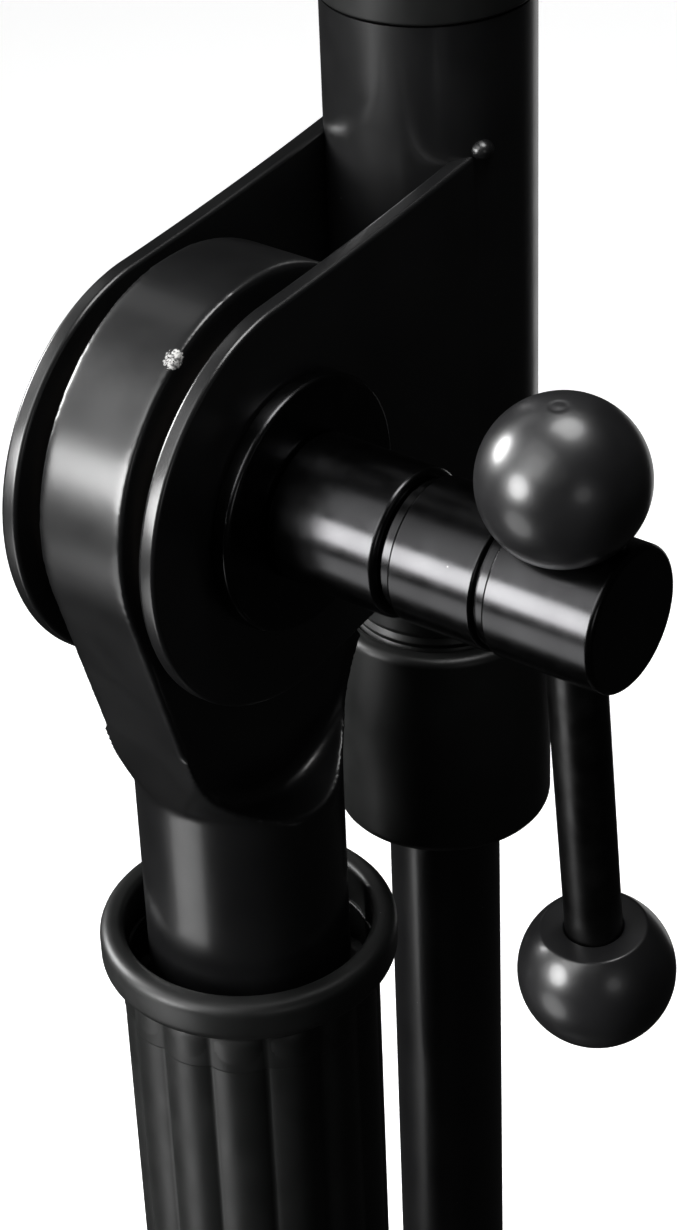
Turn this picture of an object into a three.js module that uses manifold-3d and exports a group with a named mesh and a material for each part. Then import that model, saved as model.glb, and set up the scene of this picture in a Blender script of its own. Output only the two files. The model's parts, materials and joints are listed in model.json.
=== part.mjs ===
// A height-adjustable music stand with a folding boom arm.
//
// A round base carries an upright made of two telescoping tubes, locked by a fluted twist clutch.
// The upright ends in a flat knuckle. A fork grips the knuckle, and a T-bar screw clamps the two
// together. The fork is welded to a guide tube, and a thinner arm tube slides through that,
// locked by a collar. The arm's top end carries the desk on a hinge with a knob.
//
// Frame: millimetres, +Z up, origin on the floor under the upright's axis. +X runs along the clamp
// screw towards its T-bar, and +Y runs from the upright towards the arm. Readers sit on the -Y side.

import * as THREE from 'three';
import Module from 'manifold-3d';
import { mergeVertices } from 'three/addons/utils/BufferGeometryUtils.js';

const wasm = await Module();
wasm.setup();

// ---------------------------------------------------------------- driving sizes, millimetres

const GAP = 0.3; // left between two pieces that touch
const CUT = 1; // how far a cutting tool runs past the face it cuts
const CHAMFER = 1; // plain edges of turned pieces
const FINE = 24; // facets round a large turned piece
const PLATE_FACETS = 36;
const COARSE = 12; // facets round a fastener
const SIDE_CURVE = 14; // segments in the fork's and the knuckle's side curves
const EYE_CURVE = 12;
const SHEET_CURVE = 6;

const PIVOT_HEIGHT = 690; // clamp screw axis above the floor, upright fully lowered
const ARM_OFFSET = 56.2; // clamp screw axis to arm axis

// base
const BASE_RADIUS = 170;
const BASE_RIM = 9;
const BASE_RIM_CHAMFER = 3;
const BASE_CROWN = 14; // thickness where the hub's foot starts
const HUB_FOOT_WIDTH = 8;
const HUB_FOOT_RISE = 6;
const HUB_CHAMFER = 2;
const BASE_HUB_RADIUS = 30;
const BASE_HUB_HEIGHT = 34;
const SOCKET_FLOOR = 12; // iron left under the upright
const FOOT_RADIUS = 14;
const FOOT_HEIGHT = 4;
const FOOT_INSET = 8; // foot's edge to the plate's edge
const FOOT_STEM_RADIUS = 4;
const FOOT_STEM_LENGTH = 4;
const BASE_BOLT_RADIUS = 5;
const BASE_BOLT_HEAD = 6.5;
const BASE_BOLT_HEAD_RATIO = 1.95; // head to shank
const COUNTERBORE_SPACE = 1.2; // round the bolt's head
const BASE_WASHER = 1.6;
const TUBE_PLUG_LENGTH = 24;
const FERRULE_HEIGHT = 12;
const FERRULE_WALL = 4.5;
const FERRULE_TOP_WALL = 1.5;

// upright
const OUTER_TUBE_RADIUS = 17;
const OUTER_TUBE_WALL = 2;
const INNER_TUBE_RADIUS = 14;
const INNER_TUBE_WALL = 2;
const INNER_TUBE_FOOT = 80; // lower end of the inner tube above the floor, fully lowered
const GUIDE_FLANGE = 20;
const GUIDE_SPIGOT = 15;
const GUIDE_WALL = 3;

// height clutch
const LIP_DROP = 85.5; // pivot to the top of the sleeve
const LIP_HEIGHT = 8;
const LIP_ROUND = 3;
const LIP_OVERHANG = 3.2; // lip past the ribs
const LIP_WALL = 4.2; // lip to the cup in the sleeve's top
const CUP_DEPTH = 17;
const SLEEVE_LENGTH = 95;
const SLEEVE_WALL = 3.2; // bore to the valleys between ribs
const RIB_COUNT = 14;
const RIB_DEPTH = 1.1;
const RIB_FOOT = 4; // plain band under the ribs
const RIB_POINTS = 4; // outline points for each rib
const RIB_PHASE = THREE.MathUtils.degToRad(-6.5);
const CUP_FLOOR = 3;
const CUP_BORE_PLAY = 0.6; // cup's floor round the inner tube
const COLLET_STEP = 0.2; // collet past the outer tube
const COLLET_HEIGHT = 20;
const COLLET_TAPER = 2;
const COLLET_SLOT = 2;

// knuckle
const KNUCKLE_RADIUS = 33.4;
const KNUCKLE_SETBACK = 1.2; // eye's centre behind the screw axis
const KNUCKLE_LIFT = 1; // and above it
const KNUCKLE_HALF = 8;
const STEM_RADIUS = 17;
const SHOULDER_DROP = 54; // pivot to the round shoulder of the stem
const SHOULDER_RISE = 12;
const SHOULDER_SPREAD = 5.5; // growth of the cone over that rise
const FLAT_DROP = 38; // pivot to the level where each flat starts to end in a round scoop
const SCOOP_DROP = 33; // pivot to the scoop's centre
const SCOOP_RADIUS = 23.7; // at the stem's surface
const SCOOP_DRAFT = 0.9; // smaller than that at the flat
const STEM_CLEAR = 2; // stem's end to the cup's floor
const STEM_SOCKET = 30;
const STEM_PIN_RADIUS = 2;
const STEM_PIN_RISE = 8; // above the stem's lower end

// fork
const CHEEK_RADIUS = 33;
const CHEEK_THICK = 3;
const CHEEK_SPACE = 3.7; // knuckle face to cheek
const CHEEK_TOP = 39; // above the pivot, at the guide tube
const CHEEK_BOTTOM = 25; // below the pivot, at the guide tube
const CHEEK_BOW = 1.2; // hollow of the top edge
const GUIDE_TUBE_RADIUS = 17;
const GUIDE_TUBE_WALL = 2;
const GUIDE_TUBE_TOP = 59.2;
const GUIDE_TUBE_BOTTOM = 46;
const DISC_RADIUS = 26;
const TOP_BUSH_HEIGHT = 25;
const TOP_BUSH_SPIGOT = 14;
const TOP_BUSH_CHAMFER = 2;
const TOP_BUSH_OVERHANG = 0.3; // past the guide tube

// arm lock
const LOCK_RADIUS = 19.2;
const LOCK_TOP = 53.4; // below the pivot
const LOCK_HEIGHT = 41.2;
const LOCK_ROUND = 2;
const LOCK_NECK_RADIUS = 15.6; // threaded neck that the lock collar turns on
const LOCK_NECK_LENGTH = 18;
const LOCK_COLLET_HEIGHT = 17;
const LOCK_COLLET_STEP = 0.4; // neck past the collet
const LOCK_COLLET_TAPER = 2.2;

// clamp screw
const SCREW_RADIUS = 6;
const WASHER_RADIUS = 20.3;
const WASHER_THICK = 2.9;
const SPACER_RADIUS = 11.6;
const SPACER_LENGTH = 19.4;
const GROOVE_RADIUS = 10.2;
const GROOVE_WIDTH = 1.9;
const COLLAR_RADIUS = 11.2;
const COLLAR_LENGTH = 14.5;
const HEAD_RADIUS = 11.2;
const HEAD_LENGTH = 18.3;
const BAR_SETBACK = 8; // T-bar's axis past the groove before the head
const EDGE = 0.7; // chamfer on turned edges
const NUT_RADIUS = 11;
const NUT_THICK = 10;
const SCREW_TIP = 3; // past the nut

// T-bar
const BAR_RADIUS = 4.5;
const BAR_TILT = THREE.MathUtils.degToRad(6.2); // lower end towards the arm
const BAR_FIT = 0.3;
const BALL_RADIUS = 12.5;
const BALL_FLAT = 9.1; // centre to the flat on the bar's side
const BALL_BORE_DEPTH = 4; // past the ball's centre
const BALL_SPACING = 93.5;
const BALL_RINGS = 7;

// arm
const ARM_RADIUS = 10;
const ARM_WALL = 1.5;
const ARM_ABOVE = 330; // above the pivot
const ARM_BELOW = 330; // below the pivot
const ARM_PLUG_CAP = 5;
const ARM_PLUG_ROUND = 3;
const ARM_SPIGOT = 22;

// desk hinge
const HINGE_RISE = 30; // end of the arm tube to the desk hinge
const TONGUE_HALF = 6;
const EYE_RADIUS = 13;
const HEAD_COLLAR_RADIUS = 12.5;
const HEAD_COLLAR_HEIGHT = 12;
const HEAD_COLLAR_CHAMFER = 4;
const HINGE_BOLT_RADIUS = 4;
const HINGE_HEAD_RATIO = 2.1; // bolt's head to its shank
const HINGE_HEAD_THICK = 4;
const HINGE_HEAD_EDGE = 1.2;
const HINGE_HEAD_CROWN = 0.4;
const HINGE_WASHER = 2;
const HINGE_WASHER_RADIUS = 11;
const BRACKET_SHEET = 3;
const BRACKET_WIDTH = 64;
const BRACKET_HEIGHT = 76;
const BRACKET_CORNER = 6;
const EAR_INSET = 8; // ear's root to the bracket's end
const KNOB_RADIUS = 17;
const KNOB_THICK = 15;
const KNOB_BOSS_RADIUS = 9;
const KNOB_BOSS_LENGTH = 6;
const KNOB_LOBES = 5;
const KNOB_LOBE_DEPTH = 2.5;
const KNOB_LOBE_POINTS = 8; // outline points for each lobe

// desk
const DESK_TILT = THREE.MathUtils.degToRad(-20); // leans back from upright
const DESK_WIDTH = 500;
const DESK_HEIGHT = 340;
const DESK_SHEET = 1.2;
const DESK_CORNER = 18;
const DESK_RETURN = 7; // folded edge behind the sheet
const DESK_BELOW = 150; // hinge to the desk's lower edge
const DESK_STANDOFF = 24; // hinge axis to the back of the bracket
const LEDGE_DEPTH = 52;
const LEDGE_LIP = 12;
const LEDGE_SHEET = 1.5;
const LEDGE_FLANGE = 26;
const RETURN_SPACE = 2; // ledge's flange to the desk's folded edge
const SCREW_SPREAD_X = 44;
const SCREW_SPREAD_Z = 52;
const DESK_SCREW_RADIUS = 2.5;
const DESK_SCREW_HEAD_RATIO = 1.9;
const DESK_SCREW_HEAD = 2;
const DESK_SCREW_TIP = 5; // past the bracket's back
const DESK_NUT_RATIO = 1.85;
const DESK_NUT_THICK = 4;
const RIVET_RADIUS = 2;
const RIVET_HEAD_RATIO = 1.9;
const RIVET_HEAD = 1.2;
const RIVET_CROWN = 0.7; // flat of the head, as a share of its radius
const RIVET_COUNT = 4;
const RIVET_INSET = 40; // outermost rivet to the desk's side

// ---------------------------------------------------------------- sizes that follow from those

const FULL_TURN = Math.PI * 2;
const plateBottom = FOOT_HEIGHT;
const socketFloor = plateBottom + SOCKET_FLOOR;
const hubTop = plateBottom + BASE_HUB_HEIGHT;
const cupFloor = -(LIP_DROP + CUP_DEPTH); // from the pivot
const stemEnd = cupFloor + STEM_CLEAR;
const colletTop = cupFloor - CUP_FLOOR - GAP;
const colletWide = OUTER_TUBE_RADIUS + COLLET_STEP;
const ribValley = colletWide + GAP + SLEEVE_WALL;
const lipRadius = ribValley + RIB_DEPTH + LIP_OVERHANG;
const cupRadius = lipRadius - LIP_WALL;
const outerTubeTop = colletTop - COLLET_HEIGHT - GAP;
const cheekInner = KNUCKLE_HALF + CHEEK_SPACE;
const cheekOuter = cheekInner + CHEEK_THICK;
const washerFace = cheekOuter + GAP + WASHER_THICK;
const spacerEnd = washerFace + GAP + SPACER_LENGTH;
const collarStart = spacerEnd + GAP + GROOVE_WIDTH;
const headStart = collarStart + COLLAR_LENGTH + GROOVE_WIDTH;
const headEnd = headStart + HEAD_LENGTH;
const barCross = headStart + BAR_SETBACK;
const upperBall = HEAD_RADIUS + GAP + BALL_FLAT; // ball centre from the screw axis
const lowerBall = upperBall - BALL_SPACING;
const nutEnd = cheekOuter + GAP + NUT_THICK;
const guideBore = ARM_RADIUS + GAP; // bushes round the arm tube
const hingeHeight = ARM_ABOVE + HINGE_RISE; // above the pivot
const earInner = TONGUE_HALF + GAP + HINGE_WASHER + GAP;
const earOuter = earInner + BRACKET_SHEET;
const bracketBack = -DESK_STANDOFF;
const bracketFront = bracketBack - BRACKET_SHEET;
const deskBack = bracketFront - GAP;
const deskFront = deskBack - DESK_SHEET;

// ---------------------------------------------------------------- solids

const AXIS_X = new THREE.Vector3(1, 0, 0);
const AXIS_Y = new THREE.Vector3(0, 1, 0);
const AXIS_Z = new THREE.Vector3(0, 0, 1);
const LATHE_TO_Z = new THREE.Matrix4().makeBasis(AXIS_X, AXIS_Z, AXIS_Y.clone().negate());
const LATHE_TO_X = new THREE.Matrix4().makeBasis(AXIS_Y, AXIS_X, AXIS_Z.clone().negate());
const OUTLINE_YZ = new THREE.Matrix4().makeBasis(AXIS_Y, AXIS_Z, AXIS_X);
const OUTLINE_XZ = new THREE.Matrix4().makeBasis(AXIS_X, AXIS_Z, AXIS_Y.clone().negate());

// The closed solid that a three.js geometry bounds.
function solid(geometry) {
  const bare = geometry.index ? geometry.clone() : geometry;
  bare.deleteAttribute('normal');
  bare.deleteAttribute('uv');
  const merged = mergeVertices(bare, 1e-5);
  return new wasm.Manifold(new wasm.Mesh({
    numProp: 3,
    vertProperties: new Float32Array(merged.attributes.position.array),
    triVerts: new Uint32Array(merged.index.array),
  }));
}

// Turned about Z from [radius, z] points that run anticlockwise.
function turned(points, facets = FINE) {
  const profile = points.map(([radius, z]) => new THREE.Vector2(radius, z));
  return solid(new THREE.LatheGeometry(profile, facets).applyMatrix4(LATHE_TO_Z));
}

// Turned about X from [radius, x] points that run anticlockwise.
function turnedX(points, facets = FINE) {
  const profile = points.map(([radius, x]) => new THREE.Vector2(radius, x));
  return solid(new THREE.LatheGeometry(profile, facets).applyMatrix4(LATHE_TO_X));
}

// A washer, tube or bush about Z.
function ring(inner, outer, bottom, top, facets = FINE) {
  return turned([[outer, bottom], [outer, top], [inner, top], [inner, bottom], [outer, bottom]], facets);
}

function ringX(inner, outer, from, to, facets = FINE) {
  return turnedX([[outer, from], [outer, to], [inner, to], [inner, from], [outer, from]], facets);
}

function rod(radius, bottom, top, facets = FINE) {
  return turned([[0, bottom], [radius, bottom], [radius, top], [0, top]], facets);
}

function rodX(radius, from, to, facets = FINE) {
  return turnedX([[0, from], [radius, from], [radius, to], [0, to]], facets);
}

function extruded(shape, depth, basis, curveSegments = 12) {
  const geometry = new THREE.ExtrudeGeometry(shape, { depth, bevelEnabled: false, curveSegments });
  return basis ? geometry.applyMatrix4(basis) : geometry;
}

// A [y, z] outline with thickness along X.
function plateX(shape, from, to, curveSegments) {
  return solid(extruded(shape, to - from, OUTLINE_YZ, curveSegments).translate(from, 0, 0));
}

// An [x, z] outline with thickness along Y.
function plateY(shape, from, to, curveSegments) {
  return solid(extruded(shape, to - from, OUTLINE_XZ, curveSegments).translate(0, to, 0));
}

function block(x0, x1, y0, y1, z0, z1) {
  const box = new THREE.BoxGeometry(x1 - x0, y1 - y0, z1 - z0);
  return solid(box.translate((x0 + x1) / 2, (y0 + y1) / 2, (z0 + z1) / 2));
}

function outline(points) {
  return new THREE.Shape(points.map(([u, v]) => new THREE.Vector2(u, v)));
}

function roundedRectangle(u0, u1, v0, v1, radius) {
  const shape = new THREE.Shape();
  shape.moveTo(u0 + radius, v0);
  shape.absarc(u1 - radius, v0 + radius, radius, -Math.PI / 2, 0);
  shape.absarc(u1 - radius, v1 - radius, radius, 0, Math.PI / 2);
  shape.absarc(u0 + radius, v1 - radius, radius, Math.PI / 2, Math.PI);
  shape.absarc(u0 + radius, v0 + radius, radius, Math.PI, Math.PI * 1.5);
  return shape;
}

function hexagon(acrossCorners) {
  const corners = Array.from({ length: 6 }, (_, i) => (i * FULL_TURN) / 6);
  return outline(corners.map((a) => [acrossCorners * Math.cos(a), acrossCorners * Math.sin(a)]));
}

// A closed outline whose radius follows a formula of the angle.
function polarOutline(count, radiusAt) {
  const angles = Array.from({ length: count }, (_, i) => (i * FULL_TURN) / count);
  return outline(angles.map((a) => [radiusAt(a) * Math.cos(a), radiusAt(a) * Math.sin(a)]));
}

// ---------------------------------------------------------------- materials and nodes

const FINISHES = {
  powder_coat: { color: 0x101113, roughness: 0.38, metalness: 0.1 },
  cast_iron: { color: 0x131416, roughness: 0.5, metalness: 0.2 },
  black_steel: { color: 0x0c0c0e, roughness: 0.22, metalness: 0.8 },
  zinc_steel: { color: 0x9a9ca0, roughness: 0.35, metalness: 0.9 },
  moulded_black: { color: 0x141716, roughness: 0.45, metalness: 0 },
  phenolic: { color: 0x121315, roughness: 0.28, metalness: 0 },
  nylon: { color: 0xb9b7ad, roughness: 0.6, metalness: 0 },
  rubber: { color: 0x1a1a1a, roughness: 0.85, metalness: 0 },
  friction_fibre: { color: 0x2a211b, roughness: 0.9, metalness: 0 },
};

function part(name, finish, body) {
  const mesh = body.getMesh();
  const geometry = new THREE.BufferGeometry();
  geometry.setAttribute('position', new THREE.BufferAttribute(mesh.vertProperties, 3));
  geometry.setIndex(new THREE.BufferAttribute(mesh.triVerts, 1));
  geometry.computeVertexNormals();
  const node = new THREE.Mesh(geometry, new THREE.MeshStandardMaterial(FINISHES[finish]));
  node.name = name;
  return node;
}

function placed(node, x, y, z) {
  node.position.set(x, y, z);
  return node;
}

function group(children, x = 0, y = 0, z = 0) {
  return placed(new THREE.Group().add(...children), x, y, z);
}

// ---------------------------------------------------------------- base

const footCircle = BASE_RADIUS - FOOT_INSET - FOOT_RADIUS;
const footAngles = [45, 135, 225, 315].map(THREE.MathUtils.degToRad);
const footPlaces = footAngles.map((a) => [footCircle * Math.cos(a), footCircle * Math.sin(a)]);
const boltHeadRadius = BASE_BOLT_RADIUS * BASE_BOLT_HEAD_RATIO;
const counterboreRadius = boltHeadRadius + COUNTERBORE_SPACE;
const counterboreTop = plateBottom + BASE_BOLT_HEAD + BASE_WASHER + GAP;

function basePlate() {
  const socket = OUTER_TUBE_RADIUS + GAP;
  const bolt = BASE_BOLT_RADIUS + GAP;
  const body = turned([
    [counterboreRadius, plateBottom],
    [BASE_RADIUS, plateBottom],
    [BASE_RADIUS, plateBottom + BASE_RIM - BASE_RIM_CHAMFER],
    [BASE_RADIUS - BASE_RIM_CHAMFER, plateBottom + BASE_RIM],
    [BASE_HUB_RADIUS + HUB_FOOT_WIDTH, plateBottom + BASE_CROWN],
    [BASE_HUB_RADIUS, plateBottom + BASE_CROWN + HUB_FOOT_RISE],
    [BASE_HUB_RADIUS - HUB_CHAMFER, hubTop - HUB_CHAMFER],
    [BASE_HUB_RADIUS - 2 * HUB_CHAMFER, hubTop],
    [socket, hubTop],
    [socket, socketFloor],
    [bolt, socketFloor],
    [bolt, counterboreTop],
    [counterboreRadius, counterboreTop],
    [counterboreRadius, plateBottom],
  ], PLATE_FACETS);
  const pocketTop = plateBottom + FOOT_STEM_LENGTH + GAP;
  const pockets = footPlaces.map(([x, y]) => (
    rod(FOOT_STEM_RADIUS + GAP, plateBottom - CUT, pocketTop, COARSE).translate([x, y, 0])
  ));
  return pockets.reduce((iron, pocket) => iron.subtract(pocket), body);
}

function rubberFoot() {
  const top = FOOT_HEIGHT - GAP;
  return turned([
    [0, 0],
    [FOOT_RADIUS - CHAMFER, 0],
    [FOOT_RADIUS, CHAMFER],
    [FOOT_RADIUS, top],
    [FOOT_STEM_RADIUS, top],
    [FOOT_STEM_RADIUS, top + FOOT_STEM_LENGTH],
    [0, top + FOOT_STEM_LENGTH],
  ], COARSE);
}

function baseBolt() {
  const headTop = plateBottom + BASE_BOLT_HEAD;
  const head = solid(
    extruded(hexagon(boltHeadRadius), BASE_BOLT_HEAD - CHAMFER).translate(0, 0, plateBottom + CHAMFER),
  );
  const shank = rod(BASE_BOLT_RADIUS, headTop - CUT, socketFloor + TUBE_PLUG_LENGTH, COARSE);
  return head.add(shank);
}

const base = group([
  part('base_plate', 'cast_iron', basePlate()),
  ...footPlaces.map(([x, y], i) => placed(part(`base_foot_${i + 1}`, 'rubber', rubberFoot()), x, y, 0)),
  part('base_bolt', 'zinc_steel', baseBolt()),
  part('base_washer', 'zinc_steel', ring(
    BASE_BOLT_RADIUS + GAP,
    boltHeadRadius,
    counterboreTop - BASE_WASHER,
    counterboreTop - GAP,
    COARSE,
  )),
  part('tube_plug', 'zinc_steel', ring(
    BASE_BOLT_RADIUS + GAP,
    OUTER_TUBE_RADIUS - OUTER_TUBE_WALL - GAP,
    socketFloor + GAP,
    socketFloor + TUBE_PLUG_LENGTH,
  )),
  part('outer_tube', 'powder_coat', ring(
    OUTER_TUBE_RADIUS - OUTER_TUBE_WALL,
    OUTER_TUBE_RADIUS,
    socketFloor + GAP,
    PIVOT_HEIGHT + outerTubeTop,
  )),
  part('base_ferrule', 'moulded_black', turned([
    [OUTER_TUBE_RADIUS + GAP, hubTop + GAP],
    [OUTER_TUBE_RADIUS + FERRULE_WALL, hubTop + GAP],
    [OUTER_TUBE_RADIUS + FERRULE_WALL, hubTop + FERRULE_HEIGHT / 2],
    [OUTER_TUBE_RADIUS + FERRULE_TOP_WALL, hubTop + FERRULE_HEIGHT],
    [OUTER_TUBE_RADIUS + GAP, hubTop + FERRULE_HEIGHT],
    [OUTER_TUBE_RADIUS + GAP, hubTop + GAP],
  ])),
]);

// ---------------------------------------------------------------- height clutch

// A nylon split collet: a cone that the sleeve squeezes onto the tube inside it.
function splitCollet(bore, narrow, wide, bottom, top, taper) {
  const body = turned([
    [bore, bottom],
    [wide, bottom],
    [wide, top - taper],
    [narrow, top],
    [bore, top],
    [bore, bottom],
  ]);
  const slot = block(0, wide + CUT, -COLLET_SLOT / 2, COLLET_SLOT / 2, bottom - CUT, top + CUT);
  return body.subtract(slot);
}

function clutchSleeve() {
  const sleeveBottom = -LIP_DROP - SLEEVE_LENGTH;
  const lipBottom = -LIP_DROP - LIP_HEIGHT;
  const ribBottom = sleeveBottom + RIB_FOOT;
  const ribs = polarOutline(RIB_COUNT * RIB_POINTS, (angle) => (
    ribValley + RIB_DEPTH * Math.abs(Math.cos((RIB_COUNT * (angle - RIB_PHASE)) / 2))
  ));
  const ribbed = solid(extruded(ribs, lipBottom - CHAMFER - ribBottom).translate(0, 0, ribBottom));
  const skin = turned([
    [0, sleeveBottom],
    [ribValley - CHAMFER, sleeveBottom],
    [ribValley, sleeveBottom + CHAMFER],
    [ribValley, lipBottom - 2 * CHAMFER],
    [lipRadius - LIP_ROUND, lipBottom],
    [lipRadius, lipBottom + LIP_ROUND],
    [lipRadius, -LIP_DROP - LIP_ROUND],
    [lipRadius - LIP_ROUND / 3, -LIP_DROP - LIP_ROUND / 3],
    [lipRadius - LIP_ROUND / 2, -LIP_DROP],
    [0, -LIP_DROP],
  ]);
  const shoulder = INNER_TUBE_RADIUS + CUP_BORE_PLAY;
  const bore = turned([
    [0, sleeveBottom - CUT],
    [colletWide + GAP, sleeveBottom - CUT],
    [colletWide + GAP, colletTop - COLLET_TAPER],
    [colletWide + GAP - COLLET_TAPER, colletTop + GAP],
    [shoulder, colletTop + GAP],
    [shoulder, cupFloor],
    [cupRadius, cupFloor],
    [cupRadius, -LIP_DROP - CHAMFER],
    [cupRadius + CHAMFER, -LIP_DROP],
    [cupRadius + CHAMFER, -LIP_DROP + CUT],
    [0, -LIP_DROP + CUT],
  ]);
  return skin.add(ribbed).subtract(bore);
}

const clutch = group([
  part('clutch_sleeve', 'moulded_black', clutchSleeve()),
  part('clutch_collet', 'nylon', splitCollet(
    INNER_TUBE_RADIUS + GAP,
    colletWide - COLLET_TAPER,
    colletWide,
    colletTop - COLLET_HEIGHT,
    colletTop,
    COLLET_TAPER,
  )),
], 0, 0, PIVOT_HEIGHT);

// ---------------------------------------------------------------- inner upright with its knuckle

const innerFoot = INNER_TUBE_FOOT - PIVOT_HEIGHT; // from the pivot
const stemPinHeight = stemEnd + STEM_PIN_RISE;

// Direction from the eye's centre to where the line from a shoulder corner touches the eye.
function touching(side) {
  const across = side * STEM_RADIUS - KNUCKLE_SETBACK;
  const down = -SHOULDER_DROP - KNUCKLE_LIFT;
  return Math.atan2(down, across) + side * Math.acos(KNUCKLE_RADIUS / Math.hypot(across, down));
}

// Side outline of the knuckle: a round eye whose tangents run down to the stem.
function knuckleSide() {
  const shape = new THREE.Shape();
  shape.moveTo(STEM_RADIUS, stemEnd - CUT);
  shape.lineTo(STEM_RADIUS, -SHOULDER_DROP);
  shape.absarc(KNUCKLE_SETBACK, KNUCKLE_LIFT, KNUCKLE_RADIUS, touching(1), touching(-1), false);
  shape.lineTo(-STEM_RADIUS, -SHOULDER_DROP);
  shape.lineTo(-STEM_RADIUS, stemEnd - CUT);
  return shape;
}

const knuckleReach = KNUCKLE_RADIUS + Math.max(KNUCKLE_SETBACK, KNUCKLE_LIFT) + CUT;

// A cone with the side outline's width, and on each side a flat that ends in a round scoop.
function knuckle() {
  const wide = knuckleReach + SHOULDER_SPREAD;
  const deep = STEM_RADIUS + CUT;
  const blade = plateX(knuckleSide(), -STEM_RADIUS, STEM_RADIUS, SIDE_CURVE);
  const envelope = turned([
    [0, stemEnd],
    [STEM_RADIUS - CHAMFER, stemEnd],
    [STEM_RADIUS, stemEnd + CHAMFER],
    [STEM_RADIUS, -SHOULDER_DROP],
    [STEM_RADIUS + SHOULDER_SPREAD, -SHOULDER_DROP + SHOULDER_RISE],
    [wide, 0],
    [wide, knuckleReach],
    [0, knuckleReach],
  ]);
  const scoop = turnedX([
    [0, KNUCKLE_HALF],
    [SCOOP_RADIUS - SCOOP_DRAFT, KNUCKLE_HALF],
    [SCOOP_RADIUS, deep],
    [0, deep],
  ]).translate([0, 0, -SCOOP_DROP]);
  const beside = scoop.add(block(KNUCKLE_HALF, deep, -knuckleReach, knuckleReach, -FLAT_DROP, knuckleReach));
  const screwHole = rodX(SCREW_RADIUS + GAP, -STEM_RADIUS, STEM_RADIUS, COARSE);
  const socket = rod(INNER_TUBE_RADIUS + GAP, stemEnd - CUT, stemEnd + STEM_SOCKET);
  const pinHole = rodX(STEM_PIN_RADIUS + GAP, -STEM_RADIUS - CUT, STEM_RADIUS + CUT, COARSE)
    .translate([0, 0, stemPinHeight]);
  const cutters = [beside, beside.rotate([0, 0, 180]), screwHole, socket, pinHole];
  return cutters.reduce((forging, cutter) => forging.subtract(cutter), blade.intersect(envelope));
}

function innerTube() {
  const inside = INNER_TUBE_RADIUS - INNER_TUBE_WALL;
  const tube = ring(inside, INNER_TUBE_RADIUS, innerFoot, stemEnd + STEM_SOCKET - GAP);
  const pinHole = rodX(STEM_PIN_RADIUS + GAP, -STEM_RADIUS, STEM_RADIUS, COARSE);
  return tube.subtract(pinHole.translate([0, 0, stemPinHeight]));
}

function innerGuide() {
  const flange = OUTER_TUBE_RADIUS - OUTER_TUBE_WALL - GAP;
  const spigot = INNER_TUBE_RADIUS - INNER_TUBE_WALL - GAP;
  const flangeTop = innerFoot - GAP;
  return turned([
    [spigot - GUIDE_WALL, flangeTop - GUIDE_FLANGE],
    [flange - CHAMFER, flangeTop - GUIDE_FLANGE],
    [flange, flangeTop - GUIDE_FLANGE + CHAMFER],
    [flange, flangeTop],
    [spigot, flangeTop],
    [spigot, flangeTop + GUIDE_SPIGOT],
    [spigot - GUIDE_WALL, flangeTop + GUIDE_SPIGOT],
    [spigot - GUIDE_WALL, flangeTop - GUIDE_FLANGE],
  ]);
}

const innerUpright = group([
  part('inner_tube', 'powder_coat', innerTube()),
  part('inner_tube_guide', 'nylon', innerGuide()),
  part('knuckle', 'powder_coat', knuckle()),
  placed(
    part('stem_pin', 'zinc_steel', rodX(STEM_PIN_RADIUS, GAP - STEM_RADIUS, STEM_RADIUS - GAP, COARSE)),
    0,
    0,
    stemPinHeight,
  ),
], 0, 0, PIVOT_HEIGHT);

// ---------------------------------------------------------------- fork, guide tube and its bushes

function cheek(from, to) {
  const bottomSlope = Math.atan2(CHEEK_RADIUS - CHEEK_BOTTOM, ARM_OFFSET);
  const topSlope = Math.atan2(CHEEK_TOP - CHEEK_RADIUS, ARM_OFFSET);
  const shape = new THREE.Shape();
  shape.moveTo(ARM_OFFSET, -CHEEK_BOTTOM);
  shape.lineTo(ARM_OFFSET, CHEEK_TOP);
  shape.quadraticCurveTo(
    ARM_OFFSET / 2,
    (CHEEK_TOP + CHEEK_RADIUS) / 2 - CHEEK_BOW,
    -CHEEK_RADIUS * Math.sin(topSlope),
    CHEEK_RADIUS * Math.cos(topSlope),
  );
  shape.absarc(0, 0, CHEEK_RADIUS, Math.PI / 2 + topSlope, Math.PI * 1.5 + bottomSlope, false);
  const screwHole = rodX(SCREW_RADIUS + GAP, from - CUT, to + CUT, COARSE);
  const tubeSeat = rod(GUIDE_TUBE_RADIUS + GAP, -CHEEK_RADIUS - CUT, CHEEK_TOP + CUT)
    .translate([0, ARM_OFFSET, 0]);
  return plateX(shape, from, to, SIDE_CURVE).subtract(screwHole).subtract(tubeSeat);
}

function frictionDisc() {
  return ringX(SCREW_RADIUS + GAP, DISC_RADIUS, KNUCKLE_HALF + GAP, cheekInner - GAP);
}

function clampNut() {
  const body = plateX(hexagon(NUT_RADIUS), -nutEnd, -cheekOuter - GAP);
  return body.subtract(rodX(SCREW_RADIUS + GAP, -nutEnd - CUT, 0, COARSE));
}

function topBush() {
  const flangeBottom = GUIDE_TUBE_TOP + GAP;
  const flangeTop = flangeBottom + TOP_BUSH_HEIGHT;
  const outer = GUIDE_TUBE_RADIUS + TOP_BUSH_OVERHANG;
  const spigot = GUIDE_TUBE_RADIUS - GUIDE_TUBE_WALL - GAP;
  return turned([
    [guideBore, flangeBottom - TOP_BUSH_SPIGOT],
    [spigot, flangeBottom - TOP_BUSH_SPIGOT],
    [spigot, flangeBottom],
    [outer, flangeBottom],
    [outer, flangeTop - TOP_BUSH_CHAMFER],
    [outer - TOP_BUSH_CHAMFER, flangeTop],
    [guideBore, flangeTop],
    [guideBore, flangeBottom - TOP_BUSH_SPIGOT],
  ]);
}

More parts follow.
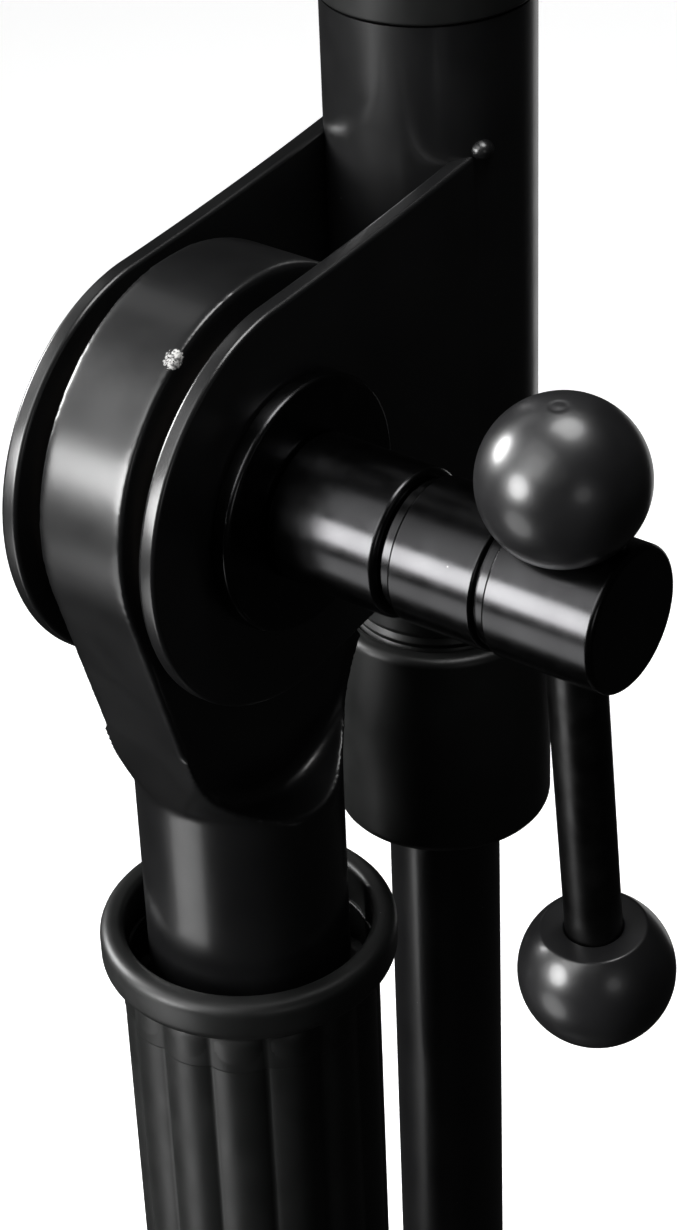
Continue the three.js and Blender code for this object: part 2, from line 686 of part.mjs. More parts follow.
const neckTop = -GUIDE_TUBE_BOTTOM - GAP;
const neckBottom = neckTop - LOCK_NECK_LENGTH;

function lockNeck() {
  const spigot = GUIDE_TUBE_RADIUS - GUIDE_TUBE_WALL - GAP;
  return turned([
    [guideBore, neckBottom],
    [LOCK_NECK_RADIUS, neckBottom],
    [LOCK_NECK_RADIUS, neckTop],
    [spigot, neckTop],
    [spigot, neckTop + TOP_BUSH_SPIGOT],
    [guideBore, neckTop + TOP_BUSH_SPIGOT],
    [guideBore, neckBottom],
  ]);
}

const lockColletTop = neckBottom - GAP;
const lockColletWide = LOCK_NECK_RADIUS - LOCK_COLLET_STEP;

// The collet's cone points down, so it is the collet shape turned over.
function lockCollet() {
  const upright = splitCollet(
    guideBore,
    lockColletWide - LOCK_COLLET_TAPER,
    lockColletWide,
    0,
    LOCK_COLLET_HEIGHT,
    LOCK_COLLET_TAPER,
  );
  return upright.rotate([180, 0, 0]).translate([0, 0, lockColletTop]);
}

const fork = group([
  part('fork_cheek_outer', 'powder_coat', cheek(cheekInner, cheekOuter)),
  part('fork_cheek_inner', 'powder_coat', cheek(-cheekOuter, -cheekInner)),
  part('friction_disc_outer', 'friction_fibre', frictionDisc()),
  part('friction_disc_inner', 'friction_fibre', frictionDisc().rotate([0, 0, 180])),
  part('clamp_nut', 'black_steel', clampNut()),
  group([
    part('guide_tube', 'powder_coat', ring(
      GUIDE_TUBE_RADIUS - GUIDE_TUBE_WALL,
      GUIDE_TUBE_RADIUS,
      -GUIDE_TUBE_BOTTOM,
      GUIDE_TUBE_TOP,
    )),
    part('top_bush', 'moulded_black', topBush()),
    part('lock_neck', 'moulded_black', lockNeck()),
    part('lock_collet', 'nylon', lockCollet()),
  ], 0, ARM_OFFSET, 0),
], 0, 0, PIVOT_HEIGHT);

// ---------------------------------------------------------------- arm lock collar

function lockCollar() {
  const top = -LOCK_TOP;
  const bottom = top - LOCK_HEIGHT;
  const thread = LOCK_NECK_RADIUS + GAP;
  const coneTop = lockColletTop - LOCK_COLLET_HEIGHT + LOCK_COLLET_TAPER;
  const mouth = guideBore + GAP;
  return turned([
    [mouth, bottom],
    [LOCK_RADIUS - LOCK_ROUND, bottom],
    [LOCK_RADIUS, bottom + LOCK_ROUND],
    [LOCK_RADIUS, top - LOCK_ROUND],
    [LOCK_RADIUS - LOCK_ROUND / 3, top - LOCK_ROUND / 3],
    [LOCK_RADIUS - LOCK_ROUND, top],
    [thread, top],
    [thread, coneTop],
    [thread - LOCK_COLLET_TAPER, coneTop - LOCK_COLLET_TAPER - GAP],
    [mouth, coneTop - LOCK_COLLET_TAPER - GAP],
    [mouth, bottom],
  ]);
}

const armLock = group([part('lock_collar', 'moulded_black', lockCollar())], 0, ARM_OFFSET, PIVOT_HEIGHT);

// ---------------------------------------------------------------- clamp screw with its T-bar

function clampScrew() {
  const tip = -nutEnd - SCREW_TIP;
  const body = turnedX([
    [0, tip],
    [SCREW_RADIUS - CHAMFER, tip],
    [SCREW_RADIUS, tip + CHAMFER],
    [SCREW_RADIUS, spacerEnd + GAP],
    [GROOVE_RADIUS, spacerEnd + GAP],
    [GROOVE_RADIUS, collarStart],
    [COLLAR_RADIUS - EDGE, collarStart],
    [COLLAR_RADIUS, collarStart + EDGE],
    [COLLAR_RADIUS, collarStart + COLLAR_LENGTH - EDGE],
    [COLLAR_RADIUS - EDGE, collarStart + COLLAR_LENGTH],
    [GROOVE_RADIUS, collarStart + COLLAR_LENGTH],
    [GROOVE_RADIUS, headStart],
    [HEAD_RADIUS - EDGE, headStart],
    [HEAD_RADIUS, headStart + EDGE],
    [HEAD_RADIUS, headEnd - EDGE],
    [HEAD_RADIUS - EDGE, headEnd],
    [0, headEnd],
  ]);
  const crossHole = rod(BAR_RADIUS + BAR_FIT, -HEAD_RADIUS - CUT, HEAD_RADIUS + CUT, COARSE);
  const tilted = crossHole.rotate([THREE.MathUtils.radToDeg(BAR_TILT), 0, 0]);
  return body.subtract(tilted.translate([barCross, 0, 0]));
}

function spacer() {
  return turnedX([
    [SCREW_RADIUS + GAP, washerFace + GAP],
    [SPACER_RADIUS, washerFace + GAP],
    [SPACER_RADIUS, spacerEnd - EDGE],
    [SPACER_RADIUS - EDGE, spacerEnd],
    [SCREW_RADIUS + GAP, spacerEnd],
    [SCREW_RADIUS + GAP, washerFace + GAP],
  ]);
}

// A ball with a flat round the mouth of its bore. The bar enters from below.
function ball() {
  const start = Math.asin(-BALL_FLAT / BALL_RADIUS);
  const skin = Array.from({ length: BALL_RINGS + 1 }, (_, i) => {
    const angle = start + ((Math.PI / 2 - start) * i) / BALL_RINGS;
    return [i === BALL_RINGS ? 0 : BALL_RADIUS * Math.cos(angle), BALL_RADIUS * Math.sin(angle)];
  });
  const bore = BAR_RADIUS + BAR_FIT;
  return turned([
    [0, BALL_BORE_DEPTH],
    [bore, BALL_BORE_DEPTH],
    [bore, -BALL_FLAT],
    ...skin,
  ]);
}

function tommyBar() {
  const reach = BALL_BORE_DEPTH - GAP;
  return rod(BAR_RADIUS, lowerBall - reach, upperBall + reach, COARSE);
}

const tBar = group([
  part('tommy_bar', 'black_steel', tommyBar()),
  placed(part('ball_upper', 'phenolic', ball()), 0, 0, upperBall),
  placed(part('ball_lower', 'phenolic', ball().rotate([180, 0, 0])), 0, 0, lowerBall),
], barCross, 0, 0);
tBar.rotation.x = BAR_TILT;

const clamp = group([
  part('thrust_washer', 'black_steel', turnedX([
    [SCREW_RADIUS + GAP, cheekOuter + GAP],
    [WASHER_RADIUS, cheekOuter + GAP],
    [WASHER_RADIUS, washerFace - EDGE],
    [WASHER_RADIUS - EDGE, washerFace],
    [SCREW_RADIUS + GAP, washerFace],
    [SCREW_RADIUS + GAP, cheekOuter + GAP],
  ])),
  part('clamp_spacer', 'black_steel', spacer()),
  part('clamp_screw', 'black_steel', clampScrew()),
  tBar,
], 0, 0, PIVOT_HEIGHT);

// ---------------------------------------------------------------- arm

function armHead() {
  const spigot = ARM_RADIUS - ARM_WALL - GAP;
  const seat = -HINGE_RISE + GAP;
  const collar = turned([
    [0, seat - ARM_SPIGOT],
    [spigot, seat - ARM_SPIGOT],
    [spigot, seat],
    [HEAD_COLLAR_RADIUS, seat],
    [HEAD_COLLAR_RADIUS, seat + HEAD_COLLAR_HEIGHT - HEAD_COLLAR_CHAMFER],
    [TONGUE_HALF + CHAMFER, seat + HEAD_COLLAR_HEIGHT],
    [0, seat + HEAD_COLLAR_HEIGHT],
  ]);
  const root = seat + HEAD_COLLAR_HEIGHT - HEAD_COLLAR_CHAMFER - CUT;
  const side = new THREE.Shape();
  side.moveTo(-HEAD_COLLAR_RADIUS + CHAMFER, root);
  side.lineTo(HEAD_COLLAR_RADIUS - CHAMFER, root);
  side.absarc(0, 0, EYE_RADIUS, 0, Math.PI, false);
  const tongue = plateX(side, -TONGUE_HALF, TONGUE_HALF, EYE_CURVE);
  return collar.add(tongue).subtract(rodX(HINGE_BOLT_RADIUS + GAP, -EYE_RADIUS, EYE_RADIUS, COARSE));
}

function armPlug() {
  const spigot = ARM_RADIUS - ARM_WALL - GAP;
  const seat = -ARM_BELOW - GAP;
  return turned([
    [0, seat - ARM_PLUG_CAP],
    [ARM_RADIUS - ARM_PLUG_ROUND, seat - ARM_PLUG_CAP],
    [ARM_RADIUS, seat - ARM_PLUG_CAP + ARM_PLUG_ROUND],
    [ARM_RADIUS, seat],
    [spigot, seat],
    [spigot, seat + ARM_SPIGOT],
    [0, seat + ARM_SPIGOT],
  ]);
}

const arm = group([
  part('arm_tube', 'powder_coat', ring(ARM_RADIUS - ARM_WALL, ARM_RADIUS, -ARM_BELOW, ARM_ABOVE)),
  part('arm_end_plug', 'moulded_black', armPlug()),
  placed(part('arm_head', 'powder_coat', armHead()), 0, 0, hingeHeight),
], 0, ARM_OFFSET, PIVOT_HEIGHT);

// ---------------------------------------------------------------- desk, about its hinge axis

const deskBottom = -DESK_BELOW;
const deskTop = deskBottom + DESK_HEIGHT;
const half = DESK_WIDTH / 2;
const screwPlaces = [[-1, -1], [1, -1], [-1, 1], [1, 1]].map(([x, z]) => (
  [(x * SCREW_SPREAD_X) / 2, (z * SCREW_SPREAD_Z) / 2]
));
const rivetPitch = (DESK_WIDTH - 2 * RIVET_INSET) / (RIVET_COUNT - 1);
const rivetHeight = deskBottom + LEDGE_FLANGE / 2;
const rivetPlaces = Array.from({ length: RIVET_COUNT }, (_, i) => (
  [-half + RIVET_INSET + i * rivetPitch, rivetHeight]
));

// Fasteners run along Y through the desk. Their own front is at -Y.
function alongY(body, x, z) {
  return body.rotate([90, 0, 0]).translate([x, 0, z]);
}

function drilled(body, places, radius, from, to) {
  const holes = places.map(([x, z]) => alongY(rod(radius, -to, -from, COARSE), x, z));
  return holes.reduce((rest, hole) => rest.subtract(hole), body);
}

function deskPlate() {
  const face = roundedRectangle(-half, half, deskBottom, deskTop, DESK_CORNER);
  const sheet = plateY(face, deskFront, deskBack, SHEET_CURVE);
  const inner = DESK_CORNER - DESK_SHEET;
  const hollow = roundedRectangle(
    -half + DESK_SHEET,
    half - DESK_SHEET,
    deskBottom - DESK_SHEET,
    deskTop - DESK_SHEET,
    inner,
  );
  const edge = plateY(face, deskFront, deskFront + DESK_RETURN, SHEET_CURVE)
    .subtract(plateY(hollow, deskBack, deskFront + DESK_RETURN + CUT, SHEET_CURVE))
    .subtract(block(
      -half - CUT,
      half + CUT,
      deskBack,
      deskFront + DESK_RETURN + CUT,
      deskBottom - CUT,
      deskBottom + LEDGE_FLANGE + RETURN_SPACE,
    ));
  const plate = sheet.add(edge);
  const screwed = drilled(plate, screwPlaces, DESK_SCREW_RADIUS + GAP, deskFront - CUT, deskBack + CUT);
  return drilled(screwed, rivetPlaces, RIVET_RADIUS + GAP, deskFront - CUT, deskBack + CUT);
}

function deskLedge() {
  const back = deskBack + GAP;
  const shelfTop = deskBottom - GAP;
  const shelfBottom = shelfTop - LEDGE_SHEET;
  const front = deskFront - LEDGE_DEPTH;
  const section = outline([
    [back + LEDGE_SHEET, shelfBottom],
    [back + LEDGE_SHEET, deskBottom + LEDGE_FLANGE],
    [back, deskBottom + LEDGE_FLANGE],
    [back, shelfTop],
    [front + LEDGE_SHEET, shelfTop],
    [front + LEDGE_SHEET, shelfTop + LEDGE_LIP],
    [front, shelfTop + LEDGE_LIP],
    [front, shelfBottom],
  ]);
  const body = plateX(section, -half, half);
  return drilled(body, rivetPlaces, RIVET_RADIUS + GAP, back - CUT, back + LEDGE_SHEET + CUT);
}

function ear(from, to) {
  const shape = new THREE.Shape();
  shape.moveTo(bracketFront, -BRACKET_HEIGHT / 2 + EAR_INSET);
  shape.absarc(0, 0, EYE_RADIUS, -Math.PI / 3, Math.PI / 3, false);
  shape.lineTo(bracketFront, BRACKET_HEIGHT / 2 - EAR_INSET);
  return plateX(shape, from, to, EYE_CURVE);
}

function deskBracket() {
  const web = plateY(roundedRectangle(
    -BRACKET_WIDTH / 2,
    BRACKET_WIDTH / 2,
    -BRACKET_HEIGHT / 2,
    BRACKET_HEIGHT / 2,
    BRACKET_CORNER,
  ), bracketFront, bracketBack, SHEET_CURVE);
  const body = web.add(ear(earInner, earOuter)).add(ear(-earOuter, -earInner))
    .subtract(rodX(HINGE_BOLT_RADIUS + GAP, -earOuter - CUT, earOuter + CUT, COARSE));
  return drilled(body, screwPlaces, DESK_SCREW_RADIUS + GAP, bracketFront - CUT, bracketBack + CUT);
}

function hingeBolt() {
  const seat = -earOuter - GAP;
  const head = HINGE_BOLT_RADIUS * HINGE_HEAD_RATIO;
  return turnedX([
    [0, seat - HINGE_HEAD_THICK],
    [HINGE_BOLT_RADIUS, seat - HINGE_HEAD_THICK + HINGE_HEAD_CROWN],
    [head, seat - HINGE_HEAD_EDGE],
    [head, seat],
    [HINGE_BOLT_RADIUS, seat],
    [HINGE_BOLT_RADIUS, earOuter + KNOB_THICK],
    [0, earOuter + KNOB_THICK],
  ], COARSE);
}

function hingeWasher() {
  return ringX(HINGE_BOLT_RADIUS + GAP, HINGE_WASHER_RADIUS, TONGUE_HALF + GAP, earInner - GAP, COARSE);
}

function deskKnob() {
  const seat = earOuter + GAP;
  const lobes = polarOutline(KNOB_LOBES * KNOB_LOBE_POINTS, (angle) => (
    KNOB_RADIUS - KNOB_LOBE_DEPTH / 2 + (KNOB_LOBE_DEPTH / 2) * Math.cos(KNOB_LOBES * angle)
  ));
  const grip = plateX(lobes, seat + KNOB_BOSS_LENGTH, seat + KNOB_BOSS_LENGTH + KNOB_THICK);
  const boss = rodX(KNOB_BOSS_RADIUS, seat, seat + KNOB_BOSS_LENGTH + CUT, COARSE);
  const bore = rodX(HINGE_BOLT_RADIUS + GAP, seat - CUT, earOuter + KNOB_THICK + GAP, COARSE);
  return grip.add(boss).subtract(bore);
}

// A pan-head screw whose head lies on the desk's front.
function deskScrew() {
  const seat = -deskFront + GAP;
  const tip = -bracketBack - DESK_SCREW_TIP;
  const head = DESK_SCREW_RADIUS * DESK_SCREW_HEAD_RATIO;
  return turned([
    [0, tip],
    [DESK_SCREW_RADIUS, tip],
    [DESK_SCREW_RADIUS, seat],
    [head, seat],
    [head, seat + DESK_SCREW_HEAD / 2],
    [DESK_SCREW_RADIUS, seat + DESK_SCREW_HEAD],
    [0, seat + DESK_SCREW_HEAD],
  ], COARSE);
}

function deskNut() {
  const seat = -bracketBack - GAP;
  const end = seat - DESK_NUT_THICK;
  const flats = hexagon(DESK_SCREW_RADIUS * DESK_NUT_RATIO);
  const body = solid(extruded(flats, DESK_NUT_THICK).translate(0, 0, end));
  return body.subtract(rod(DESK_SCREW_RADIUS + GAP, end - CUT, seat + CUT, COARSE));
}

function ledgeRivet() {
  const front = -deskFront + GAP;
  const back = -(deskBack + GAP + LEDGE_SHEET) - GAP;
  const head = RIVET_RADIUS * RIVET_HEAD_RATIO;
  return turned([
    [0, back - RIVET_HEAD],
    [head * RIVET_CROWN, back - RIVET_HEAD],
    [head, back],
    [RIVET_RADIUS, back],
    [RIVET_RADIUS, front],
    [head, front],
    [head * RIVET_CROWN, front + RIVET_HEAD],
    [0, front + RIVET_HEAD],
  ], COARSE);
}

const desk = group([
  part('desk_plate', 'powder_coat', deskPlate()),
  part('desk_ledge', 'powder_coat', deskLedge()),
  part('desk_bracket', 'powder_coat', deskBracket()),
  part('hinge_bolt', 'black_steel', hingeBolt()),
  part('hinge_washer_right', 'nylon', hingeWasher()),
  part('hinge_washer_left', 'nylon', hingeWasher().rotate([0, 0, 180])),
  part('desk_knob', 'moulded_black', deskKnob()),
  ...screwPlaces.map(([x, z], i) => part(`desk_screw_${i + 1}`, 'black_steel', alongY(deskScrew(), x, z))),
  ...screwPlaces.map(([x, z], i) => part(`desk_nut_${i + 1}`, 'black_steel', alongY(deskNut(), x, z))),
  ...rivetPlaces.map(([x, z], i) => part(`ledge_rivet_${i + 1}`, 'black_steel', alongY(ledgeRivet(), x, z))),
], 0, ARM_OFFSET, PIVOT_HEIGHT + hingeHeight);
desk.rotation.x = DESK_TILT;

const musicStand = group([base, clutch, innerUpright, fork, armLock, clamp, arm, desk]);
musicStand.name = 'music_stand';

export default musicStand;
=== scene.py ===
"""The looks of the music stand: fine surfaces, materials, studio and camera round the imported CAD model.

Lengths are millimetres until a piece is finished, when its mesh is scaled to metres. A piece takes its
place and its outer sizes from the CAD node it stands for, measured in that part's own axes.
"""

import json
import math

import bmesh
import bpy
from mathutils import Matrix, Vector

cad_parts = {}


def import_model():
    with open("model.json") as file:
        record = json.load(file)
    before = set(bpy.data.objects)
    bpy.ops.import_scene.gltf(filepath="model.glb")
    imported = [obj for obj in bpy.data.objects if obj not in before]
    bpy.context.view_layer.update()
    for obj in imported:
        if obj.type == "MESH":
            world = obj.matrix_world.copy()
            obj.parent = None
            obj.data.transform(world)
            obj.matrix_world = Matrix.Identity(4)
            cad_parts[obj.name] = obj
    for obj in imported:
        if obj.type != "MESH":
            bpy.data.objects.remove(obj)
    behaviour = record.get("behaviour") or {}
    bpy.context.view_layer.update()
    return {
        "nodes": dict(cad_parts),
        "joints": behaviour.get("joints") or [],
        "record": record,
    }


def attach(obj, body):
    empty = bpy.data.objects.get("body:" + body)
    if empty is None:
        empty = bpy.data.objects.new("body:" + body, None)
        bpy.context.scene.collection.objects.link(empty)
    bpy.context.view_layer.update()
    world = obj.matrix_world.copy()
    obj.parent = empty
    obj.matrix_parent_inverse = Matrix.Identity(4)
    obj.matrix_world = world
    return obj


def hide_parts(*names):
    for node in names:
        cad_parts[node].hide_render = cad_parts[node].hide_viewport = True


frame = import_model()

# ---------------------------------------------------------------- the record's names and places

MM = 0.001
TURN = 2 * math.pi
RECORD = frame["record"]
JOINTS = {joint["name"]: joint for joint in frame["joints"]}
BODY_OF = {node: body for body, nodes in RECORD["behaviour"]["bodies"].items() for node in nodes}
SLOT_OF = {part["node"]: part["material_slot"] for part in RECORD["subparts"]}
DESK_EDGE = next(mount for mount in RECORD["mounts"] if mount["name"] == "desk_top_edge")

PIVOT = Vector(JOINTS["arm_tilt"]["pos_m"]) / MM
HINGE = Vector(JOINTS["desk_tilt"]["pos_m"]) / MM
BAR_AXIS = Vector(JOINTS["bar_slide"]["axis"])
DESK_UP = Vector(DESK_EDGE["axis"])

# ---------------------------------------------------------------- sizes, millimetres

LARGE = 128  # steps round a large turned piece
SMALL = 48  # steps round a fastener
BEND = 6  # steps round a rounded corner
LOBE = 24  # steps along a lobe or an edge's curve
DISC = 96  # steps round most of a disc
BALL = 160  # steps round a ball knob
THROUGH = 20  # half the length of a drill that goes right through a hinge
CLEAR = 0.3  # running clearance round a shaft
OUTER_WALL = 2.0
INNER_WALL = 2.0
ARM_WALL = 1.5
SCREW_RADIUS = 6.0
BOLT_RADIUS = 5.0
HINGE_BOLT_RADIUS = 4.0

BASE_RIM = 9  # height of the base plate's rim
HUB_FOOT = (38, 14)  # radius, and height above the plate's underside
HUB_NECK = (30, 21)
HUB_TOP = 27.5
RECESS_GAP = 1.2  # round the washer under the base
FOOT_STUD = 4  # radius and length of a foot's stud
FERRULE_SKIRT = 6
FERRULE_LIP = 1.2
BASE_HEAD_RATIO = 1.95  # corner radius of the base bolt's head to the bolt's
BASE_HEAD_HEIGHT = 5.5

STEM_RADIUS = 17.0
KNUCKLE_HALF = 8.0
SHOULDER_DROP = 54.0
SHOULDER_RISE = 12.0
SHOULDER_SPREAD = 5.5  # growth of the knuckle's cone over that rise
FLAT_DROP = 38.0  # pivot to the level where each flat starts to end in a round scoop
SCOOP_DROP = 33.0  # pivot to the scoop's centre
SCOOP_RADIUS = 23.7
SCOOP_DRAFT = 0.9
STEM_SOCKET = 30.0
KNUCKLE_VOXEL = 0.4
KNUCKLE_SOFTENING = 30  # smoothing rounds on the knuckle's edges
CHIP_ANGLE = math.radians(122.5)  # round the knuckle's eye from +Y
CHIP_INSET = 0.7  # from the knuckle's side
CHIP_CORE = 1.2
CHIP_REACH = 2.6

CHEEK_TOP = 39.0
CHEEK_BOTTOM = 25.0
CHEEK_BOW = 1.2
CHEEK_EDGE = 0.75
WELD_RADIUS = 1.9  # rounded end of a weld
WELD_FLATNESS = 0.85
WELD_SINK = 0.4  # how far a weld's end reaches into the tube

RIB_COUNT = 14
RIB_DEPTH = 1.1
RIB_TOP = 21.8
RIB_PHASE = math.radians(-6.5)
RIB_STEPS = 20  # steps round each rib
RIB_FULLNESS = 0.8  # below 1 the ribs are wider than the valleys
RIB_HEAD_GAP = 0.3  # from the lip to a rib's upper end
RIB_HEAD_RUN = 3.2  # height over which a rib swells out there
RIB_FOOT_GAP = 2
RIB_FOOT_RUN = 3
LIP_HEIGHT = 8
CUP_RADIUS = 20.8
CUP_DEPTH = 17
COLLET_TAPER = 2
COLLET_SLOT = 2

GROOVE_WIDTH = 1.9  # the two grooves round the clamp screw
GROOVE_DEPTH = 1.0
HEAD_LENGTH = 18.3  # the clamp screw's head, beyond its second groove

# ---------------------------------------------------------------- axes that pieces are measured in


def axes(u, v, w, origin=(0, 0, 0)):
    """A placing whose local X, Y and Z run along u, v and w."""
    turn = Matrix((Vector(u), Vector(v), Vector(w))).transposed().to_4x4()
    return Matrix.Translation(Vector(origin)) @ turn


UPRIGHT = Matrix.Identity(4)
ARM = Matrix.Translation((0, HINGE.y, 0))
SCREW = axes((0, 1, 0), (0, 0, 1), (1, 0, 0), PIVOT)
HINGE_PIN = axes((0, 1, 0), (0, 0, 1), (1, 0, 0), HINGE)
DESK = axes((1, 0, 0), Vector(DESK_UP).cross((1, 0, 0)), DESK_UP, HINGE)
DESK_SIDE = DESK @ axes((0, 1, 0), (0, 0, 1), (1, 0, 0))  # thickness along the desk's width
DESK_FACE = DESK @ axes((1, 0, 0), (0, 0, 1), (0, -1, 0))  # thickness towards the reader


def extent(node, place=UPRIGHT):
    """Lowest and highest corner of a CAD node in a placing's own axes."""
    back = place.inverted()
    points = [back @ (vertex.co / MM) for vertex in frame["nodes"][node].data.vertices]
    low = Vector([min(point[axis] for point in points) for axis in range(3)])
    high = Vector([max(point[axis] for point in points) for axis in range(3)])
    return low, high


def middle(node, place=UPRIGHT):
    low, high = extent(node, place)
    return (low + high) / 2


KNUCKLE_LOW, KNUCKLE_HIGH = extent("knuckle")
EYE_RADIUS = (KNUCKLE_HIGH.y - KNUCKLE_LOW.y) / 2
EYE_CENTRE = (KNUCKLE_LOW.y + EYE_RADIUS - PIVOT.y, KNUCKLE_HIGH.z - EYE_RADIUS - PIVOT.z)

CROSSING = middle("tommy_bar")
BAR = axes((1, 0, 0), BAR_AXIS.cross((1, 0, 0)), BAR_AXIS, (CROSSING.x, PIVOT.y, PIVOT.z))

# ---------------------------------------------------------------- mesh making


def rounded(profile, closed):
    """Points of a profile whose corners (u, v, radius) are turned into arcs."""
    points = []
    for i, corner in enumerate(profile):
        at = Vector(corner[:2])
        radius = corner[2] if len(corner) > 2 else 0
        at_end = not closed and i in (0, len(profile) - 1)
        if radius == 0 or at_end:
            points.append(at)
            continue
        before = Vector(profile[i - 1][:2]) - at
        after = Vector(profile[(i + 1) % len(profile)][:2]) - at
        half = before.angle(after) / 2
        back = min(radius / math.tan(half), before.length * 0.49, after.length * 0.49)
        centre = at + (before.normalized() + after.normalized()).normalized() * back / math.cos(half)
        start = at + before.normalized() * back - centre
        end = at + after.normalized() * back - centre
        sweep = start.angle_signed(end)
        for step in range(BEND + 1):
            angle = -sweep * step / BEND
            turn = Matrix.Rotation(angle, 2)
            points.append(centre + turn @ start)
    return points


def mesh_from(work, place=UPRIGHT):
    """A bmesh as a mesh with its faces outwards, put in place."""
    bmesh.ops.recalc_face_normals(work, faces=work.faces)
    mesh = bpy.data.meshes.new("piece")
    work.to_mesh(mesh)
    work.free()
    mesh.transform(place)
    return mesh


def turned(profile, place, steps=LARGE, shape=None):
    """Turned about the placing's Z from (radius, height, corner radius) points.

    A profile that starts off the axis closes on itself. shape(angle, radius, height) may change the radius.
    """
    closed = profile[0][0] > 0
    work = bmesh.new()
    rings = []
    for radius, height in rounded(profile, closed):
        if radius < 1e-6:
            rings.append([work.verts.new((0, 0, height))])
            continue
        ring = []
        for i in range(steps):
            angle = TURN * i / steps
            reach = shape(angle, radius, height) if shape else radius
            ring.append(work.verts.new((reach * math.cos(angle), reach * math.sin(angle), height)))
        rings.append(ring)
    pairs = list(zip(rings, rings[1:]))
    if closed:
        pairs.append((rings[-1], rings[0]))
    for low, high in pairs:
        for i in range(steps):
            j = (i + 1) % steps
            around = [low[i % len(low)], low[j % len(low)], high[j % len(high)], high[i % len(high)]]
            corners = list(dict.fromkeys(around))
            if len(corners) > 2:
                work.faces.new(corners)
    return mesh_from(work, place)


def rod(radius, low, high, place, steps=LARGE):
    return turned([(0, low), (radius, low), (radius, high), (0, high)], place, steps)


def with_modifiers(data, *modifiers):
    """The mesh that a curve or mesh gives once the modifiers have run."""
    scratch = bpy.data.objects.new("scratch", data)
    bpy.context.scene.collection.objects.link(scratch)
    for kind, values in modifiers:
        modifier = scratch.modifiers.new(kind, kind)
        for key, value in values.items():
            setattr(modifier, key, value)
    graph = bpy.context.evaluated_depsgraph_get()
    mesh = bpy.data.meshes.new_from_object(scratch.evaluated_get(graph), depsgraph=graph)
    bpy.data.objects.remove(scratch)
    return mesh


def combined(first, second, operation):
    tool = bpy.data.objects.new("tool", second)
    bpy.context.scene.collection.objects.link(tool)
    mesh = with_modifiers(first, ("BOOLEAN", {"operation": operation, "solver": "EXACT", "object": tool}))
    bpy.data.objects.remove(tool)
    return mesh


def union(first, *others):
    for other in others:
        first = combined(first, other, "UNION")
    return first


def cut(first, *others):
    for other in others:
        first = combined(first, other, "DIFFERENCE")
    return first


def common(first, *others):
    for other in others:
        first = combined(first, other, "INTERSECT")
    return first


def plate(outlines, low, high, place, edge=0.4):
    """Flat outlines, the first solid and the others holes, thick from low to high, with rounded edges."""
    curve = bpy.data.curves.new("plate", "CURVE")
    curve.dimensions = "2D"
    curve.fill_mode = "BOTH"
    curve.extrude = (high - low) / 2 - edge
    curve.bevel_depth = edge
    curve.bevel_resolution = 3
    curve.offset = -edge
    for outline in outlines:
        spline = curve.splines.new("POLY")
        spline.points.add(len(outline) - 1)
        for point, (u, v) in zip(spline.points, outline):
            point.co = (u, v, 0, 1)
        spline.use_cyclic_u = True
    flat = with_modifiers(curve)
    work = bmesh.new()
    work.from_mesh(flat)
    bmesh.ops.remove_doubles(work, verts=work.verts, dist=1e-4)
    return mesh_from(work, place @ Matrix.Translation((0, 0, (low + high) / 2)))


def circle(radius, steps=LARGE, centre=(0, 0)):
    angles = [TURN * i / steps for i in range(steps)]
    return [(centre[0] + radius * math.cos(a), centre[1] + radius * math.sin(a)) for a in angles]


def arc(centre, radius, start, end, steps):
    angles = [start + (end - start) * i / steps for i in range(steps + 1)]
    return [(centre[0] + radius * math.cos(a), centre[1] + radius * math.sin(a)) for a in angles]


def curved(start, control, end, steps):
    """Points of a quadratic curve, both ends included."""
    points = []
    for i in range(steps + 1):
        t = i / steps
        shares = list(zip(((1 - t) ** 2, 2 * t * (1 - t), t**2), (start, control, end)))
        points.append(tuple(sum(share * point[axis] for share, point in shares) for axis in (0, 1)))
    return points


def rectangle(u0, u1, v0, v1, radius):
    corners = [(u0, v0, radius), (u1, v0, radius), (u1, v1, radius), (u0, v1, radius)]
    return [tuple(point) for point in rounded(corners, closed=True)]


def hexagon(corner_radius):
    return circle(corner_radius, steps=6)


def stand_for(mesh, *nodes, material=None, flat_faces=False, sharp=35):
    """The finished piece, which takes the place, body and slot of the CAD nodes it replaces."""
    mesh.transform(Matrix.Scale(MM, 4))
    mesh.shade_smooth()
    mesh.set_sharp_from_angle(angle=math.radians(sharp))
    piece = bpy.data.objects.new(nodes[0] + "_surface", mesh)
    bpy.context.scene.collection.objects.link(piece)
    slot = SLOT_OF[nodes[0]]
    mesh.materials.clear()
    mesh.materials.append(material or MATERIALS[slot])
    if flat_faces:
        piece.modifiers.new("flat_faces", "WEIGHTED_NORMAL").keep_sharp = True
    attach(piece, BODY_OF[nodes[0]])
    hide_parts(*nodes)
    return piece


# ---------------------------------------------------------------- material making


def add(tree, kind, inputs=None, **settings):
    """A shader node with its settings, and its inputs set or linked."""
    node = tree.nodes.new("ShaderNode" + kind)
    for key, value in settings.items():
        setattr(node, key, value)
    for key, value in (inputs or {}).items():
        if isinstance(value, bpy.types.NodeSocket):
            tree.links.new(value, node.inputs[key])
        else:
            node.inputs[key].default_value = value
    return node


def new_material(name, sockets):
    """A principled material. Sockets given here are the same all over the surface."""
    material = bpy.data.materials.new(name)
    material.use_nodes = True
    tree = material.node_tree
    shader = next(node for node in tree.nodes if node.type == "BSDF_PRINCIPLED")
    for key, value in sockets.items():
        shader.inputs[key].default_value = value
    return material, tree, shader


def dress(tree, shader, colour, roughness, normal):
    """Feeds a pattern of colour, of roughness and of relief to the shader."""
    tree.links.new(colour, shader.inputs["Base Color"])
    tree.links.new(roughness, shader.inputs["Roughness"])
    tree.links.new(normal, shader.inputs["Normal"])


def place_of(tree):
    return add(tree, "TexCoord").outputs["Object"]


